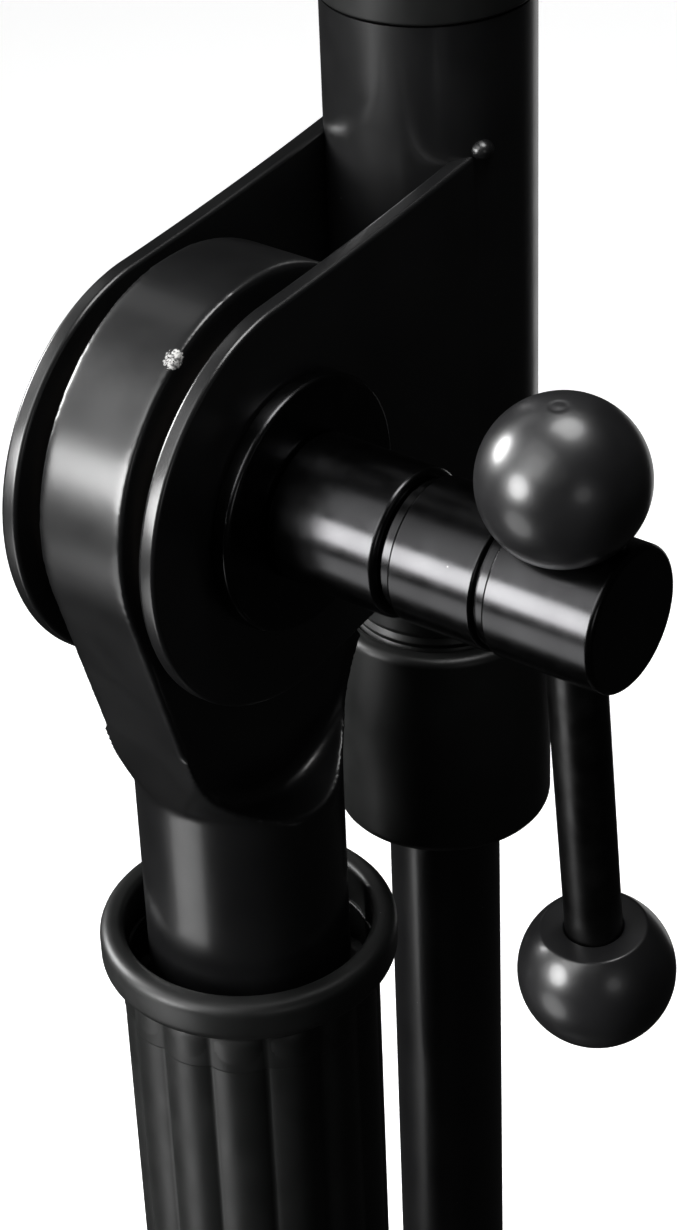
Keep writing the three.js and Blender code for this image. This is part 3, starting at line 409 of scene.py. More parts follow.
def noise(tree, size, detail=2.0, stretch=None):
    """Noise whose features are about size millimetres across, 0 to 1."""
    vector = place_of(tree)
    if stretch:
        vector = add(tree, "VectorMath", {0: vector, 1: stretch}, operation="MULTIPLY").outputs[0]
    inputs = {"Vector": vector, "Scale": 1 / (size * MM), "Detail": detail}
    return add(tree, "TexNoise", inputs).outputs["Fac"]


def spread(tree, value, low, high, value_low=0.3, value_high=0.7):
    """Maps a texture onto low to high."""
    return add(tree, "MapRange", {
        "Value": value, "From Min": value_low, "From Max": value_high, "To Min": low, "To Max": high,
    }).outputs["Result"]


def mixed(tree, factor, first, second):
    """The two colours mixed. Inputs 6 and 7 and output 2 are the mix node's colour sockets."""
    return add(tree, "Mix", {0: factor, 6: first, 7: second}, data_type="RGBA").outputs[2]


def clouded(tree, size, first, second, detail=3):
    """A soft drift between two close colours, size millimetres across."""
    return mixed(tree, spread(tree, noise(tree, size, detail), 0, 1), first, second)


def grey(value, tint=(1, 1, 1)):
    return (value * tint[0], value * tint[1], value * tint[2], 1)


def specks(tree, cell, size, share):
    """A mask of sparse round specks: one in a share of the cells, size millimetres across."""
    cells = add(tree, "TexVoronoi", {"Vector": place_of(tree), "Scale": 1 / (cell * MM)})
    inside = add(tree, "Math", {0: cells.outputs["Distance"], 1: size / cell / 2}, operation="LESS_THAN")
    red = add(tree, "SeparateColor", {0: cells.outputs["Color"]}).outputs[0]
    chosen = add(tree, "Math", {0: red, 1: share}, operation="LESS_THAN")
    return add(tree, "Math", {0: inside.outputs[0], 1: chosen.outputs[0]}, operation="MULTIPLY").outputs[0]


def bumped(tree, height, depth, before=None):
    """A bump of depth millimetres over a 0 to 1 height, on top of the normal before it."""
    inputs = {"Height": height, "Distance": depth * MM, "Strength": 1.0}
    if before:
        inputs["Normal"] = before
    return add(tree, "Bump", inputs).outputs["Normal"]


DUST = grey(0.30, (1, 0.99, 0.96))


def dusty(tree, colour, cell, size, share):
    return mixed(tree, specks(tree, cell, size, share), colour, DUST)


def chipped(tree, colour, centre):
    """Bare metal flakes round a chip's centre, thinning out to nothing."""
    inputs = {0: place_of(tree), 1: centre * MM}
    off = add(tree, "VectorMath", inputs, operation="DISTANCE").outputs["Value"]
    near = spread(tree, off, 0.62, 0.0, CHIP_CORE * MM, CHIP_REACH * MM)
    flakes = add(tree, "Math", {0: noise(tree, 0.55, 3), 1: near}, operation="LESS_THAN").outputs[0]
    tone = spread(tree, noise(tree, 0.4, 2), 0, 1, 0.4, 0.6)
    return mixed(tree, flakes, colour, mixed(tree, tone, grey(0.10), grey(0.55, (1, 0.99, 0.97))))


def powder_coat(name="powder_coat", chip=None):
    """Satin black powder coat: a faint orange peel, fine grain and a few specks of dust."""
    sockets = {"IOR": 1.5, "Coat Weight": 0.3, "Coat Roughness": 0.17}
    material, tree, shader = new_material(name, sockets)
    colour = clouded(tree, 24, grey(0.0032, (1, 1.02, 1.08)), grey(0.0055, (1, 1.02, 1.08)))
    colour = dusty(tree, colour, 3.2, 0.16, 0.10)
    peel = bumped(tree, noise(tree, 1.5, 1.5), 0.010)
    grain = bumped(tree, noise(tree, 0.35, 1), 0.0035, peel)
    if chip:
        colour = chipped(tree, colour, chip)
    dress(tree, shader, colour, spread(tree, noise(tree, 9, 4), 0.29, 0.36), grain)
    return material


def cast_iron():
    """Painted iron: the sand's texture shows through the paint."""
    material, tree, shader = new_material("cast_iron", {"IOR": 1.5})
    colour = dusty(tree, clouded(tree, 40, grey(0.010), grey(0.017)), 9.0, 0.5, 0.10)
    sand = bumped(tree, noise(tree, 2.2, 3), 0.05)
    fine = bumped(tree, noise(tree, 0.6, 2), 0.012, sand)
    dress(tree, shader, colour, spread(tree, noise(tree, 12, 3), 0.42, 0.55), fine)
    return material


def turned_steel():
    """Blackened steel turned on a lathe about X: the tool's rings, with dust and fine scratches."""
    material, tree, shader = new_material("turned_steel", {"Metallic": 1.0})
    along = add(tree, "SeparateXYZ", {0: place_of(tree)}).outputs["X"]
    inputs = {"W": along, "Scale": 1 / (0.22 * MM), "Detail": 3.0}
    rings = add(tree, "TexNoise", inputs, noise_dimensions="1D").outputs["Fac"]
    colour = clouded(tree, 6, grey(0.034, (1, 1, 1.03)), grey(0.047, (1, 1, 1.03)), 4)
    colour = dusty(tree, colour, 1.6, 0.13, 0.16)
    grain = bumped(tree, noise(tree, 0.3, 2), 0.0016, bumped(tree, rings, 0.0022))
    dress(tree, shader, colour, spread(tree, noise(tree, 3, 4), 0.21, 0.26), grain)
    return material


def black_steel():
    """Blackened steel without turning marks, for bars and fasteners."""
    material, tree, shader = new_material("black_steel", {"Metallic": 1.0})
    colour = dusty(tree, clouded(tree, 5, grey(0.030), grey(0.055), 4), 4.0, 0.2, 0.1)
    grain = bumped(tree, noise(tree, 0.5, 2, (1, 1, 0.15)), 0.002)
    dress(tree, shader, colour, spread(tree, noise(tree, 4, 3), 0.28, 0.38), grain)
    return material


def zinc_steel():
    """Zinc plate with its spangle."""
    material, tree, shader = new_material("zinc_steel", {"Metallic": 1.0})
    inputs = {"Vector": place_of(tree), "Scale": 1 / (3 * MM)}
    spangle = add(tree, "TexVoronoi", inputs).outputs["Color"]
    colour = mixed(tree, spangle, grey(0.42, (1, 1.01, 1.05)), grey(0.55, (1, 1.01, 1.05)))
    grain = bumped(tree, noise(tree, 0.6, 2), 0.004)
    dress(tree, shader, colour, spread(tree, noise(tree, 2, 3), 0.30, 0.42), grain)
    return material


def moulded_black():
    """Black nylon mouldings with a fine spark-eroded grain."""
    material, tree, shader = new_material("moulded_black", {"IOR": 1.48})
    colour = clouded(tree, 18, grey(0.0045, (1, 1.06, 1.03)), grey(0.0075, (1, 1.06, 1.03)))
    colour = dusty(tree, colour, 6.0, 0.25, 0.10)
    flow = bumped(tree, noise(tree, 5, 2), 0.02)
    grain = bumped(tree, noise(tree, 0.3, 1.5), 0.006, flow)
    dress(tree, shader, colour, spread(tree, noise(tree, 7, 3), 0.38, 0.48), grain)
    return material


def phenolic():
    """Polished black phenolic, a little dull from handling."""
    sockets = {"IOR": 1.55, "Coat Weight": 0.25, "Coat Roughness": 0.16}
    material, tree, shader = new_material("phenolic", sockets)
    colour = clouded(tree, 12, grey(0.008, (1, 1, 1.06)), grey(0.013, (1, 1, 1.06)))
    colour = dusty(tree, colour, 4.0, 0.22, 0.12)
    wave = bumped(tree, noise(tree, 9, 1), 0.03)
    grain = bumped(tree, noise(tree, 0.4, 1), 0.0016, wave)
    dress(tree, shader, colour, spread(tree, noise(tree, 6, 4), 0.30, 0.38), grain)
    return material


def nylon():
    """Natural nylon, for the bushes and collets."""
    material, tree, shader = new_material("nylon", {"IOR": 1.53})
    colour = clouded(tree, 8, (0.48, 0.47, 0.42, 1), (0.54, 0.53, 0.48, 1))
    grain = bumped(tree, noise(tree, 0.6, 2), 0.008)
    dress(tree, shader, colour, spread(tree, noise(tree, 3, 3), 0.5, 0.62), grain)
    return material


def rubber():
    """Dull moulded rubber."""
    material, tree, shader = new_material("rubber", {"IOR": 1.5})
    colour = clouded(tree, 5, grey(0.014), grey(0.026))
    grain = bumped(tree, noise(tree, 0.8, 3), 0.03)
    dress(tree, shader, colour, spread(tree, noise(tree, 2, 3), 0.75, 0.9), grain)
    return material


def friction_fibre():
    """Pressed fibre sheet: short strands in a dark binder."""
    material, tree, shader = new_material("friction_fibre", {"IOR": 1.45})
    strands = spread(tree, noise(tree, 0.8, 3, (1, 0.2, 1)), 0, 1)
    colour = mixed(tree, strands, (0.016, 0.013, 0.011, 1), (0.040, 0.032, 0.026, 1))
    grain = bumped(tree, strands, 0.05)
    dress(tree, shader, colour, spread(tree, noise(tree, 1, 3), 0.8, 0.95), grain)
    return material


MATERIALS = {recipe.__name__: recipe() for recipe in (
    powder_coat, cast_iron, black_steel, zinc_steel, moulded_black, phenolic, nylon, rubber, friction_fibre,
)}
TURNED_STEEL = turned_steel()

# ---------------------------------------------------------------- turned pieces that need only a ring or rod


def ring_piece(node, place, wall, edge=0.4, material=None):
    """A plain tube, bush or washer with softened edges."""
    low, high = extent(node, place)
    outer, inner = high.x, high.x - wall
    profile = [(outer, low.z, edge), (outer, high.z, edge), (inner, high.z, edge), (inner, low.z, edge)]
    return stand_for(turned(profile, place), node, material=material)


# ---------------------------------------------------------------- base


def base_plate():
    low, high = extent("base_plate")
    socket = extent("outer_tube")[1].x + CLEAR
    floor = extent("outer_tube")[0].z - CLEAR
    recess = extent("base_washer")[1].x + RECESS_GAP
    recess_top = extent("base_washer")[1].z + CLEAR
    bolt = BOLT_RADIUS + CLEAR
    profile = [
        (recess, low.z, 0.6),
        (high.x, low.z, 1.5),
        (high.x, low.z + BASE_RIM, 4),
        (HUB_FOOT[0], low.z + HUB_FOOT[1], 26),
        (HUB_NECK[0], low.z + HUB_NECK[1], 9),
        (HUB_TOP, high.z, 3),
        (socket, high.z, 0.6),
        (socket, floor, 0.3),
        (bolt, floor, 0.3),
        (bolt, recess_top, 0.3),
        (recess, recess_top, 0.3),
    ]
    stand_for(turned(profile, UPRIGHT, LARGE * 2), "base_plate")


def base_feet():
    for i in range(1, 5):
        node = f"base_foot_{i}"
        at = middle(node)
        place = Matrix.Translation((at.x, at.y, 0))
        low, high = extent(node, place)
        step = high.z - FOOT_STUD
        pad = [(0, low.z), (high.x, low.z, 1.5), (high.x, step, 0.8)]
        stud = [(FOOT_STUD, step, 0.4), (FOOT_STUD, high.z, 0.8), (0, high.z)]
        stand_for(turned(pad + stud, place, SMALL), node)


def base_fasteners():
    low, high = extent("base_bolt")
    head_top = low.z + BASE_HEAD_HEIGHT
    head = plate([hexagon(BOLT_RADIUS * BASE_HEAD_RATIO)], low.z, head_top, UPRIGHT, 0.5)
    start = head_top - 1.5
    shank = [(0, start), (BOLT_RADIUS, start), (BOLT_RADIUS, high.z, 0.8), (0, high.z)]
    stand_for(union(head, turned(shank, UPRIGHT, SMALL)), "base_bolt")
    washer = extent("base_washer")[1].x
    ring_piece("base_washer", UPRIGHT, washer - BOLT_RADIUS - CLEAR, 0.2)
    plug = extent("tube_plug")[1].x
    ring_piece("tube_plug", UPRIGHT, plug - BOLT_RADIUS - CLEAR, 0.6)


def base_ferrule():
    low, high = extent("base_ferrule")
    inner = extent("outer_tube")[1].x + CLEAR
    profile = [
        (inner, low.z, 0.2),
        (high.x, low.z, 0.6),
        (high.x, low.z + FERRULE_SKIRT, 2.5),
        (inner + FERRULE_LIP, high.z, 0.6),
        (inner, high.z, 0.2),
    ]
    stand_for(turned(profile, UPRIGHT), "base_ferrule")


# ---------------------------------------------------------------- clutch and inner upright


def clutch_sleeve():
    """A fluted sleeve under a thick rolled lip, which makes a cup round the knuckle's stem."""
    low, high = extent("clutch_sleeve")
    lip = high.x
    lip_bottom = high.z - LIP_HEIGHT
    valley = RIB_TOP - RIB_DEPTH
    mouth = extent("outer_tube")[1].x + 0.5
    throat = extent("inner_tube")[1].x + 0.6
    cup_floor = high.z - CUP_DEPTH
    collet_top = extent("clutch_collet")[1].z

    def flutes(angle, radius, height):
        """Ribs that swell out of the neck below the lip and run almost to the lower end."""
        if radius < valley - 0.05 or height > lip_bottom:
            return radius
        rise = min(1, max(0, (lip_bottom - RIB_HEAD_GAP - height) / RIB_HEAD_RUN))
        fall = min(1, max(0, (height - low.z - RIB_FOOT_GAP) / RIB_FOOT_RUN))
        swell = math.sin(rise * math.pi / 2) * math.sin(fall * math.pi / 2)
        wave = abs(math.cos(RIB_COUNT * (angle - RIB_PHASE) / 2)) ** RIB_FULLNESS
        return radius + RIB_DEPTH * swell * wave

    neck = [(valley, lip_bottom - 0.4 - 0.35 * i) for i in range(1, 12)]
    foot = [(valley, low.z + 6 - 0.5 * i) for i in range(0, 10)]
    profile = [
        (mouth, low.z, 0.3),
        (valley - 0.2, low.z, 1.0),
        *reversed(foot),
        *reversed(neck),
        (valley, lip_bottom, 0.8),
        (lip, lip_bottom + 0.6, 3.2),
        (lip, high.z, 2.6),
        (CUP_RADIUS, high.z, 1.2),
        (CUP_RADIUS, cup_floor, 1.0),
        (throat, cup_floor, 0.3),
        (throat, collet_top + CLEAR, 0.3),
        (mouth - COLLET_TAPER, collet_top + CLEAR, 0.3),
        (mouth, collet_top - COLLET_TAPER, 0.3),
    ]
    stand_for(turned(profile, UPRIGHT, RIB_COUNT * RIB_STEPS, flutes), "clutch_sleeve", sharp=50)


def split_collet(node, place, bore, point):
    """A split nylon ring whose cone points up, or down when point is -1."""
    low, high = extent(node, place)
    wide = high.x
    tip, root = (high.z, low.z) if point > 0 else (low.z, high.z)
    cone = [(wide, tip - COLLET_TAPER * point, 0.4), (wide - COLLET_TAPER, tip, 0.3)]
    profile = [(bore, root, 0.2), (wide, root, 0.4), *cone, (bore, tip, 0.2)]
    outline = rectangle(0, wide + 2, -COLLET_SLOT / 2, COLLET_SLOT / 2, 0.2)
    slot = plate([outline], low.z - 1, high.z + 1, place, 0.1)
    stand_for(cut(turned(profile, place), slot), node)


def knuckle():
    """A round eye on a coned stem, with a scoop under each flat and every edge softened like a casting."""
    bottom = extent("knuckle")[0].z - PIVOT.z
    ends = []
    for side in (1, -1):
        across, down = side * STEM_RADIUS - EYE_CENTRE[0], -SHOULDER_DROP - EYE_CENTRE[1]
        ends.append(math.atan2(down, across) + side * math.acos(EYE_RADIUS / math.hypot(across, down)))
    eye = arc(EYE_CENTRE, EYE_RADIUS, ends[0], ends[1] + TURN, DISC)
    right = [(STEM_RADIUS, bottom), (STEM_RADIUS, -SHOULDER_DROP)]
    left = [(-STEM_RADIUS, -SHOULDER_DROP), (-STEM_RADIUS, bottom)]
    blade = plate([right + eye + left], -STEM_RADIUS, STEM_RADIUS, SCREW, 0.05)
    top = EYE_RADIUS + max(EYE_CENTRE) + 1
    envelope = turned([
        (0, bottom),
        (STEM_RADIUS, bottom, 1),
        (STEM_RADIUS, -SHOULDER_DROP, 6),
        (STEM_RADIUS + SHOULDER_SPREAD, -SHOULDER_DROP + SHOULDER_RISE, 14),
        (top + SHOULDER_SPREAD, 0),
        (top + SHOULDER_SPREAD, top),
        (0, top),
    ], Matrix.Translation(PIVOT))
    deep = STEM_RADIUS + 1
    cutters = []
    for side in (1, -1):
        across = SCREW @ Matrix.Scale(side, 4, (0, 0, 1)) @ Matrix.Scale(side, 4, (0, 1, 0))
        low_centre = across @ Matrix.Translation((0, -side * SCOOP_DROP, 0))
        cutters.append(turned([
            (0, KNUCKLE_HALF),
            (SCOOP_RADIUS - SCOOP_DRAFT, KNUCKLE_HALF, 2.5),
            (SCOOP_RADIUS, deep),
            (0, deep),
        ], low_centre))
        flat = rectangle(-top, top, -FLAT_DROP, top, 0.1)
        cutters.append(plate([flat], *sorted((side * KNUCKLE_HALF, side * deep)), SCREW, 0.01))
    bore = rod(SCREW_RADIUS + CLEAR, -deep, deep, SCREW, SMALL)
    tube = extent("inner_tube")[1].x + CLEAR
    socket = rod(tube, bottom - 1, bottom + STEM_SOCKET, Matrix.Translation(PIVOT))
    body = cut(common(blade, envelope), *cutters, bore, socket)
    soft = with_modifiers(
        body,
        ("REMESH", {"mode": "VOXEL", "voxel_size": KNUCKLE_VOXEL}),
        ("SMOOTH", {"factor": 0.5, "iterations": KNUCKLE_SOFTENING}),
    )
    stand_for(soft, "knuckle", material=CHIPPED_COAT, sharp=80)


def upright_tubes():
    ring_piece("outer_tube", UPRIGHT, OUTER_WALL)
    ring_piece("inner_tube", UPRIGHT, INNER_WALL)
    at = middle("stem_pin")
    place = axes((0, 1, 0), (0, 0, 1), (1, 0, 0), at)
    low, high = extent("stem_pin", place)
    pin = [(0, low.z), (high.x, low.z, 0.4), (high.x, high.z, 0.4), (0, high.z)]
    stand_for(turned(pin, place, SMALL), "stem_pin")
    low, high = extent("inner_tube_guide")
    flange = extent("inner_tube")[0].z - CLEAR
    spigot = extent("inner_tube")[1].x - INNER_WALL - CLEAR
    profile = [
        (spigot - 3, low.z, 0.5),
        (high.x, low.z, 1.2),
        (high.x, flange, 0.4),
        (spigot, flange, 0.2),
        (spigot, high.z, 0.6),
        (spigot - 3, high.z, 0.4),
    ]
    stand_for(turned(profile, UPRIGHT), "inner_tube_guide")


# ---------------------------------------------------------------- fork


def cheek_outline():
    """Side outline of a cheek about the pivot: a disc whose tangents run back to the guide tube."""
    radius = PIVOT.y - extent("fork_cheek_outer")[0].y
    back = HINGE.y - PIVOT.y
    bottom_slope = math.atan2(radius - CHEEK_BOTTOM, back)
    top_slope = math.atan2(CHEEK_TOP - radius, back)
    start = (-radius * math.sin(top_slope), radius * math.cos(top_slope))
    control = (back / 2, (CHEEK_TOP + radius) / 2 - CHEEK_BOW)
    top_edge = curved((back, CHEEK_TOP), control, start, LOBE)
    disc = arc((0, 0), radius, math.pi / 2 + top_slope, math.pi * 1.5 + bottom_slope, DISC)
    return [(back, -CHEEK_BOTTOM), *top_edge[:-1], *disc]


def weld_dot(at):
    """The rounded end of a weld, a slightly flattened bead."""
    place = Matrix.Translation(at) @ Matrix.Diagonal((1, 1, WELD_FLATNESS, 1))
    skin = arc((0, 0), WELD_RADIUS, -math.pi / 2, math.pi / 2, 20)
    skin[0], skin[-1] = (0, -WELD_RADIUS), (0, WELD_RADIUS)
    return turned(skin, place, SMALL)


def welds():
    """Weld ends where the outer cheek's top and bottom corners run out on the guide tube."""
    reach = extent("guide_tube", ARM)[1].x
    across = extent("fork_cheek_outer")[1].x + WELD_SINK
    back = HINGE.y - math.sqrt(reach**2 - across**2)
    heights = (CHEEK_TOP - 0.5, 0.5 - CHEEK_BOTTOM)
    return [weld_dot((across, back + WELD_SINK, PIVOT.z + z)) for z in heights]


def fork():
    """Two cheeks welded to the guide tube."""
    outline = cheek_outline()
    inner = extent("fork_cheek_outer")[0].x
    outer = extent("fork_cheek_outer")[1].x
    hole = circle(SCREW_RADIUS + CLEAR, SMALL)
    sides = ((inner, outer), (-outer, -inner))
    cheeks = [plate([outline, hole], *side, SCREW, CHEEK_EDGE) for side in sides]
    low, high = extent("guide_tube", ARM)
    tube_radius = high.x
    shell = rod(tube_radius, low.z, high.z, ARM)
    inside = tube_radius - OUTER_WALL
    bore = [
        (0, low.z - 1),
        (inside + 0.5, low.z - 1),
        (inside, low.z + 0.5),
        (inside, high.z - 0.5),
        (inside + 0.5, high.z + 1),
        (0, high.z + 1),
    ]
    body = cut(union(shell, *cheeks, *welds()), turned(bore, ARM))
    stand_for(body, "fork_cheek_outer", "fork_cheek_inner", "guide_tube", flat_faces=True)


def friction_discs():
    for node in ("friction_disc_outer", "friction_disc_inner"):
        radius = extent(node, SCREW)[1].x
        ring_piece(node, SCREW, radius - SCREW_RADIUS - CLEAR, 0.4)


def clamp_nut():
    low, high = extent("clamp_nut", SCREW)
    body = plate([hexagon(high.x), circle(SCREW_RADIUS + CLEAR, SMALL)], low.z, high.z, SCREW, 0.5)
    stand_for(body, "clamp_nut", flat_faces=True)


def top_bush():
    low, high = extent("top_bush", ARM)
    bore = extent("arm_tube", ARM)[1].x + CLEAR
    tube = extent("guide_tube", ARM)[1]
    flange = tube.z + CLEAR
    spigot = tube.x - OUTER_WALL - CLEAR
    profile = [
        (bore, low.z, 0.3),
        (spigot, low.z, 0.5),
        (spigot, flange, 0.1),
        (high.x, flange, 0.5),
        (high.x, high.z, 2.2),
        (bore, high.z, 0.6),
    ]
    stand_for(turned(profile, ARM), "top_bush")


def lock_neck():
    """The threaded neck that the lock collar turns on."""
    low, high = extent("lock_neck", ARM)
    bore = extent("arm_tube", ARM)[1].x + CLEAR
    spigot = extent("guide_tube", ARM)[1].x - OUTER_WALL - CLEAR
    shoulder = extent("guide_tube", ARM)[0].z - CLEAR
    pitch, depth = 2.0, 0.5
    thread = []
    height = low.z + 1
    while height < shoulder - 3:
        thread += [(high.x - depth, height), (high.x, height + pitch / 2, 0.3)]
        height += pitch
    profile = [
        (bore, low.z, 0.2),
        (high.x - depth, low.z),
        *thread,
        (high.x, shoulder - 1),
        (high.x, shoulder, 0.4),
        (spigot, shoulder),
        (spigot, high.z, 0.5),
        (bore, high.z, 0.3),
    ]
    stand_for(turned(profile, ARM), "lock_neck")


def lock_collar():
    low, high = extent("lock_collar", ARM)
    thread = extent("lock_neck", ARM)[1].x + CLEAR
    mouth = extent("arm_tube", ARM)[1].x + 2 * CLEAR
    cone = low.z + 8
    profile = [
        (mouth, low.z, 0.5),
        (high.x, low.z, 2.6),
        (high.x, high.z, 1.8),
        (thread, high.z, 0.5),
        (thread, cone + 3, 0.3),
        (mouth + 2, cone, 0.3),
        (mouth, cone, 0.3),
    ]
    stand_for(turned(profile, ARM), "lock_collar")


# ---------------------------------------------------------------- clamp screw and T-bar


def clamp_screw():
    """One turned bar: a shank, a collar and a head, parted by two grooves and drilled for the T-bar."""
    low, high = extent("clamp_screw", SCREW)
    spacer_end = extent("clamp_spacer", SCREW)[1].z
    start = spacer_end + CLEAR + GROOVE_WIDTH
    groove = high.z - HEAD_LENGTH
    collar, waist = high.x, high.x - GROOVE_DEPTH
    profile = [
        (0, low.z),
        (SCREW_RADIUS, low.z, 1),
        (SCREW_RADIUS, spacer_end + CLEAR, 0.3),
        (waist, spacer_end + CLEAR, 0.3),
        (waist, start, 0.25),
        (collar, start, 0.75),
        (collar, groove - GROOVE_WIDTH, 0.75),
        (waist, groove - GROOVE_WIDTH, 0.25),
        (waist, groove, 0.25),
        (collar, groove, 0.75),
        (collar, high.z, 1.0),
        (0, high.z),
    ]
    radius = extent("tommy_bar", BAR)[1].x + CLEAR
    drilled = cut(turned(profile, SCREW, LARGE), rod(radius, -collar - 1, collar + 1, BAR, SMALL))
    stand_for(drilled, "clamp_screw", material=TURNED_STEEL, flat_faces=True)


def thrust_pieces():
    low, high = extent("thrust_washer", SCREW)
    inner = SCREW_RADIUS + CLEAR
    washer = [(inner, low.z, 0.2), (high.x, low.z, 0.3), (high.x, high.z, 0.9), (inner, high.z, 0.2)]
    stand_for(turned(washer, SCREW), "thrust_washer", material=TURNED_STEEL)
    low, high = extent("clamp_spacer", SCREW)
    spacer = [(inner, low.z, 0.1), (high.x, low.z, 0.5), (high.x, high.z, 0.9), (inner, high.z, 0.2)]
    stand_for(turned(spacer, SCREW), "clamp_spacer", material=TURNED_STEEL)


def t_bar():
    low, high = extent("tommy_bar", BAR)
    bar = [(0, low.z), (high.x, low.z, 0.6), (high.x, high.z, 0.6), (0, high.z)]
    stand_for(turned(bar, BAR, 64), "tommy_bar")
    for node, way in (("ball_upper", 1), ("ball_lower", -1)):
        low, high = extent(node, BAR)
        ball(node, high.x, way, high.z if way > 0 else low.z)


def ball(node, radius, way, tip):
    """A ball knob: a flat round the bar's mouth, and the moulding's gate mark at the far pole."""
    centre = tip - way * radius
    low, high = extent(node, BAR)
    reach = high.z - low.z - radius
    start = -math.asin(reach / radius)
    bore = extent("tommy_bar", BAR)[1].x + 0.05
    gate = 1.5
    last = math.acos(gate / radius)
    pole = radius * math.sin(last)
    socket_end = 3
    skin = arc((0, 0), radius, start, last, 56)
    profile = [
        (0, socket_end),
        (bore, socket_end, 0.2),
        (bore, -reach, 0.4),
        (*skin[0], 0.9),
        *skin[2:],
        (gate * 0.9, pole - 0.05),
        (gate * 0.55, pole - 0.06),
        (gate * 0.35, pole + 0.02),
        (0, pole + 0.04),
    ]
    place = BAR @ Matrix.Translation((0, 0, centre))
    if way < 0:
        place = place @ Matrix.Rotation(math.pi, 4, "X")
    stand_for(turned(profile, place, BALL), node, sharp=50)


# ---------------------------------------------------------------- arm


def arm_pieces():
    ring_piece("arm_tube", ARM, ARM_WALL)
    low, high = extent("arm_end_plug", ARM)
    tube = extent("arm_tube", ARM)
    spigot = high.x - ARM_WALL - CLEAR
    seat = tube[0].z - CLEAR
    cap = [(0, low.z), (high.x, low.z, 3.2), (high.x, seat, 0.2)]
    stem = [(spigot, seat), (spigot, high.z, 0.6), (0, high.z)]
    stand_for(turned(cap + stem, ARM), "arm_end_plug")


def arm_head():
    """A turned collar with a flat tongue, drilled for the hinge bolt."""
    low, high = extent("arm_head", HINGE_PIN)
    seat = extent("arm_tube", ARM)[1].z + CLEAR - HINGE.z
    collar_top, shoulder, root = seat + 9, seat + 12, seat + 7
    spigot = extent("arm_tube", ARM)[1].x - ARM_WALL - CLEAR
    collar_radius = high.z
    tongue_half = 6.0
    collar = turned([
        (0, low.y),
        (spigot, low.y, 0.6),
        (spigot, seat),
        (collar_radius, seat, 0.6),
        (collar_radius, collar_top, 2),
        (tongue_half + 1, shoulder, 1),
        (0, shoulder),
    ], Matrix.Translation(HINGE))
    width = collar_radius - 1
    side = [(-width, root), (width, root), *arc((0, 0), high.x, 0, math.pi, 48)]
    tongue = plate([side], -tongue_half, tongue_half, HINGE_PIN, 0.7)
    bore = rod(HINGE_BOLT_RADIUS + CLEAR, -THROUGH, THROUGH, HINGE_PIN, SMALL)
    stand_for(cut(union(collar, tongue), bore), "arm_head", flat_faces=True)


# ---------------------------------------------------------------- desk


def desk_plate():
    """One pressed sheet: a flat face whose edges fold back, except along the ledge."""
    low, high = extent("desk_plate", DESK)
    front, back = low.y, high.y
    sheet, corner, bend = 1.2, 18, 2.6
    fold_start = low.z + 28
    outline = rounded([
        (low.x, low.z, corner), (high.x, low.z, corner),
        (high.x, fold_start), (high.x, high.z, corner), (low.x, high.z, corner), (low.x, fold_start),
    ], closed=True)
    work = bmesh.new()
    face = work.faces.new([work.verts.new((u, front, v)) for u, v in outline])
    folded = [edge for edge in face.edges if all(vertex.co.z > fold_start - 0.01 for vertex in edge.verts)]
    made = bmesh.ops.extrude_edge_only(work, edges=folded)
    rim = [item for item in made["geom"] if isinstance(item, bmesh.types.BMVert)]
    bmesh.ops.translate(work, verts=rim, vec=(0, back - front, 0))
    bmesh.ops.bevel(work, geom=folded, offset=bend, segments=BEND, profile=0.5, affect="EDGES")
    skin = mesh_from(work, DESK)
    normal = sum((Vector(f.normal) * f.area for f in skin.polygons), Vector())
    outward = -1 if normal.dot(DESK.to_3x3() @ Vector((0, -1, 0))) > 0 else 1
    thicken = {"thickness": sheet, "offset": outward, "use_even_offset": True}
    stand_for(with_modifiers(skin, ("SOLIDIFY", thicken)), "desk_plate", flat_faces=True)


def desk_ledge():
    """An angled shelf along the lower edge, with a lip that keeps the pages on."""
    low, high = extent("desk_ledge", DESK)
    sheet = 1.5
    front, back = low.y, high.y
    lip_top = low.z + sheet + 12
    section = rounded([
        (back, low.z, 2.4),
        (back, high.z, 0.3),
        (back - sheet, high.z, 0.3),
        (back - sheet, low.z + sheet, 1.0),
        (front + sheet, low.z + sheet, 1.0),
        (front + sheet, lip_top, 0.6),
        (front, lip_top, 0.6),
        (front, low.z, 2.4),
    ], closed=True)
    body = plate([[tuple(point) for point in section]], low.x, high.x, DESK_SIDE, 0.3)
    stand_for(body, "desk_ledge", flat_faces=True)


def desk_bracket():
    low, high = extent("desk_bracket", DESK)
    sheet = 3.0
    front = low.y
    web = plate([rectangle(low.x, high.x, low.z, high.z, 6)], -front - sheet, -front, DESK_FACE, 0.5)
    ears = []
    outer = extent("hinge_washer_right", DESK)[1].x + CLEAR
    eye = 13.0
    turn_from = -math.pi / 3
    root = high.z - 8
    outline = [(front + 0.5, -root), *arc((0, 0), eye, turn_from, -turn_from, 32), (front + 0.5, root)]
    for side in (1, -1):
        middle_x = side * (outer + sheet / 2)
        ears.append(plate([outline], middle_x - sheet / 2, middle_x + sheet / 2, DESK_SIDE, 0.6))
    bore = rod(HINGE_BOLT_RADIUS + CLEAR, -THROUGH, THROUGH, HINGE_PIN, SMALL)
    stand_for(cut(union(web, *ears), bore), "desk_bracket", flat_faces=True)


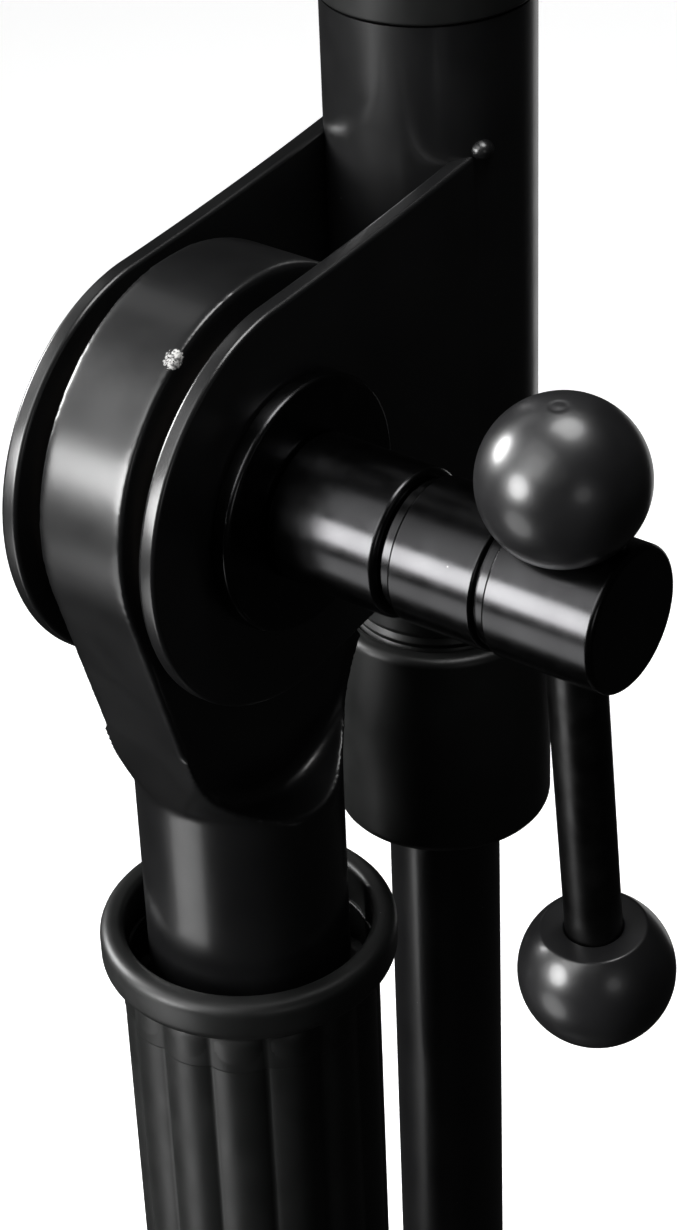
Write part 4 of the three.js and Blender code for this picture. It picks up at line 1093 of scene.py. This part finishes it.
def hinge_pieces():
    low, high = extent("hinge_bolt", HINGE_PIN)
    seat = low.z + 4
    radius = HINGE_BOLT_RADIUS
    crown, head = radius * 1.8, radius * 2.1
    bolt = [
        (0, low.z),
        (crown, low.z, 1.6),
        (head, seat - 1.2, 0.8),
        (head, seat, 0.2),
        (radius, seat),
        (radius, high.z, 0.6),
        (0, high.z),
    ]
    stand_for(turned(bolt, HINGE_PIN, SMALL), "hinge_bolt")
    for node in ("hinge_washer_right", "hinge_washer_left"):
        ring_piece(node, HINGE_PIN, extent(node, HINGE_PIN)[1].x - radius - CLEAR, 0.3)


def desk_knob():
    """A five-lobed hand knob on a round boss."""
    low, high = extent("desk_knob", HINGE_PIN)
    lobes, lobe_depth, radius, boss = 5, 2.5, 17.0, 9.0
    grip_start = low.z + 6
    outline = []
    for i in range(lobes * LOBE):
        angle = TURN * i / (lobes * LOBE)
        reach = radius - lobe_depth / 2 + lobe_depth / 2 * math.cos(lobes * angle)
        outline.append((reach * math.cos(angle), reach * math.sin(angle)))
    grip = plate([outline], grip_start, high.z, HINGE_PIN, 2.2)
    stalk_end = grip_start + 3
    stalk = [(0, low.z), (boss, low.z, 0.5), (boss, stalk_end), (0, stalk_end)]
    bolt_end = extent("hinge_bolt", HINGE_PIN)[1].z
    bore = rod(HINGE_BOLT_RADIUS + 0.1, low.z - 1, bolt_end + CLEAR, HINGE_PIN, SMALL)
    body = cut(union(grip, turned(stalk, HINGE_PIN, SMALL)), bore)
    stand_for(body, "desk_knob", flat_faces=True, sharp=45)


def desk_fasteners():
    for i in range(1, 5):
        screw, nut, rivet = f"desk_screw_{i}", f"desk_nut_{i}", f"ledge_rivet_{i}"
        at = middle(screw, DESK_FACE)
        place = DESK_FACE @ Matrix.Translation((at.x, at.y, 0))
        low, high = extent(screw, place)
        seat, shank, head = high.z - 2, 2.5, 4.75
        profile = [(0, low.z), (shank, low.z, 0.5), (shank, seat), (head, seat, 0.2), (head, seat + 1.1, 0.6),
                   (shank, high.z, 1.5), (0, high.z)]
        socket = plate([hexagon(1.8)], high.z - 1.2, high.z + 1, place, 0.05)
        stand_for(cut(turned(profile, place, SMALL), socket), screw, sharp=45)
        low, high = extent(nut, place)
        body = plate([hexagon(high.x), circle(shank + 0.1, SMALL)], low.z, high.z, place, 0.35)
        stand_for(body, nut, flat_faces=True)
        at = middle(rivet, DESK_FACE)
        place = DESK_FACE @ Matrix.Translation((at.x, at.y, 0))
        low, high = extent(rivet, place)
        shank, head = 2.0, 3.8
        profile = [(0, low.z), (head, low.z, 0.8), (head, low.z + 1.2, 0.2), (shank, low.z + 1.2),
                   (shank, high.z - 1.2), (head, high.z - 1.2, 0.2), (head * 0.8, high.z, 1.4), (0, high.z)]
        stand_for(turned(profile, place, SMALL), rivet, sharp=45)


# ---------------------------------------------------------------- build

CHIP = PIVOT + Vector((
    KNUCKLE_HALF - CHIP_INSET,
    EYE_CENTRE[0] + EYE_RADIUS * math.cos(CHIP_ANGLE),
    EYE_CENTRE[1] + EYE_RADIUS * math.sin(CHIP_ANGLE),
))
CHIPPED_COAT = powder_coat("chipped_powder_coat", CHIP)

base_plate()
base_feet()
base_fasteners()
base_ferrule()
clutch_sleeve()
split_collet("clutch_collet", UPRIGHT, extent("inner_tube")[1].x + CLEAR, 1)
knuckle()
upright_tubes()
fork()
friction_discs()
clamp_nut()
top_bush()
lock_neck()
split_collet("lock_collet", ARM, extent("arm_tube", ARM)[1].x + CLEAR, -1)
lock_collar()
clamp_screw()
thrust_pieces()
t_bar()
arm_pieces()
arm_head()
desk_plate()
desk_ledge()
desk_bracket()
hinge_pieces()
desk_knob()
desk_fasteners()

# ---------------------------------------------------------------- studio and camera

FLOOR_SIZE = 12.0  # metres


def floor():
    """A pale floor that only the camera sees, so that it throws no light on the black parts."""
    work = bmesh.new()
    reach = FLOOR_SIZE / 2
    corners = [(-reach, -reach), (reach, -reach), (reach, reach), (-reach, reach)]
    work.faces.new([work.verts.new((x, y, 0)) for x, y in corners])
    mesh = bpy.data.meshes.new("floor")
    work.to_mesh(mesh)
    work.free()
    obj = bpy.data.objects.new("floor", mesh)
    bpy.context.scene.collection.objects.link(obj)
    sockets = {"Roughness": 0.9, "Emission Color": grey(1.0), "Emission Strength": 0.82}
    material, tree, shader = new_material("floor_paper", sockets)
    fibre = add(tree, "TexNoise", {"Vector": place_of(tree), "Scale": 40.0, "Detail": 2.0}).outputs["Fac"]
    tree.links.new(mixed(tree, fibre, grey(0.80), grey(0.84)), shader.inputs["Base Color"])
    mesh.materials.append(material)
    obj.visible_glossy = False
    obj.visible_diffuse = False


def softbox(name, azimuth, height, distance, size, power, shape="DISK", target=None):
    """A light that faces the target, by default the clamp screw's axis, from a bearing in degrees."""
    data = bpy.data.lights.new(name, "AREA")
    data.shape = shape
    data.size, data.size_y, data.energy = size[0], size[1], power
    lamp = bpy.data.objects.new(name, data)
    bpy.context.scene.collection.objects.link(lamp)
    aim = PIVOT * MM if target is None else Vector(target)
    lift = Matrix.Rotation(math.radians(-height), 3, "Y")
    way = Matrix.Rotation(math.radians(azimuth), 3, "Z") @ lift @ Vector((1, 0, 0))
    lamp.location = aim + way * distance
    lamp.rotation_mode = "QUATERNION"
    lamp.rotation_quaternion = way.to_track_quat("Z", "Y")
    lamp.visible_camera = False


def lights():
    softbox("key", -114, 9, 1.2, (0.60, 0.60), 18)
    softbox("left", -167, 20, 1.1, (0.5, 0.5), 19)
    softbox("left_high", 170, 44, 1.2, (0.6, 0.6), 0.8)
    softbox("front_high", -104, 40, 1.2, (0.6, 0.6), 0.9)
    softbox("front_low", -115, -36, 1.1, (0.6, 0.6), 2.4)
    softbox("right_high", -66, 40, 1.2, (0.6, 0.6), 0.2)
    softbox("right", -30, 10, 1.2, (0.4, 0.4), 0.5)
    softbox("overhead", 28, 75, 0.24, (0.13, 0.13), 0.42)
    softbox("back_low", 100, -22, 1.2, (0.5, 0.5), 0.4)
    softbox("desk_light", -100, 30, 2.2, (1.2, 1.2), 6, "RECTANGLE", (0, 0, 1.15))
    softbox("base_light", -110, 58, 2.2, (1.2, 1.2), 9, "RECTANGLE", (0, 0, 0.05))


def world():
    """White where the camera looks past the stand, dim studio walls for everything else."""
    made = bpy.data.worlds.new("studio")
    bpy.context.scene.world = made
    made.use_nodes = True
    tree = made.node_tree
    background = next(node for node in tree.nodes if node.type == "BACKGROUND")
    seen = add(tree, "LightPath").outputs["Is Camera Ray"]
    tree.links.new(mixed(tree, seen, grey(0.010), grey(1.0)), background.inputs["Color"])


# Millimetres from the arm's pivot, where the camera stands.
CAMERA_FROM_PIVOT = Vector((264.8, -305.1, 234.4))
CAMERA_AZIMUTH = math.radians(38.49)
CAMERA_DIP = math.radians(32.92)
CAMERA_ROLL = math.radians(-2.38)
CAMERA_LENS = 89.57
CAMERA_SENSOR = 36


def camera():
    """The camera looks along the azimuth, dipped below level and rolled about its own axis."""
    data = bpy.data.cameras.new("camera")
    data.lens, data.sensor_width = CAMERA_LENS, CAMERA_SENSOR
    data.clip_start, data.clip_end = 0.01, 50
    obj = bpy.data.objects.new("camera", data)
    bpy.context.scene.collection.objects.link(obj)
    level = Vector((-math.sin(CAMERA_AZIMUTH), math.cos(CAMERA_AZIMUTH), 0))
    right = Vector((math.cos(CAMERA_AZIMUTH), math.sin(CAMERA_AZIMUTH), 0))
    ahead = level * math.cos(CAMERA_DIP) - Vector((0, 0, math.sin(CAMERA_DIP)))
    up = right.cross(ahead)
    rolled_right = right * math.cos(CAMERA_ROLL) + up * math.sin(CAMERA_ROLL)
    rolled_up = up * math.cos(CAMERA_ROLL) - right * math.sin(CAMERA_ROLL)
    obj.matrix_world = axes(rolled_right, rolled_up, -ahead, (PIVOT + CAMERA_FROM_PIVOT) * MM)
    bpy.context.scene.camera = obj


floor()
lights()
world()
camera()
bpy.context.scene.view_settings.view_transform = "Standard"
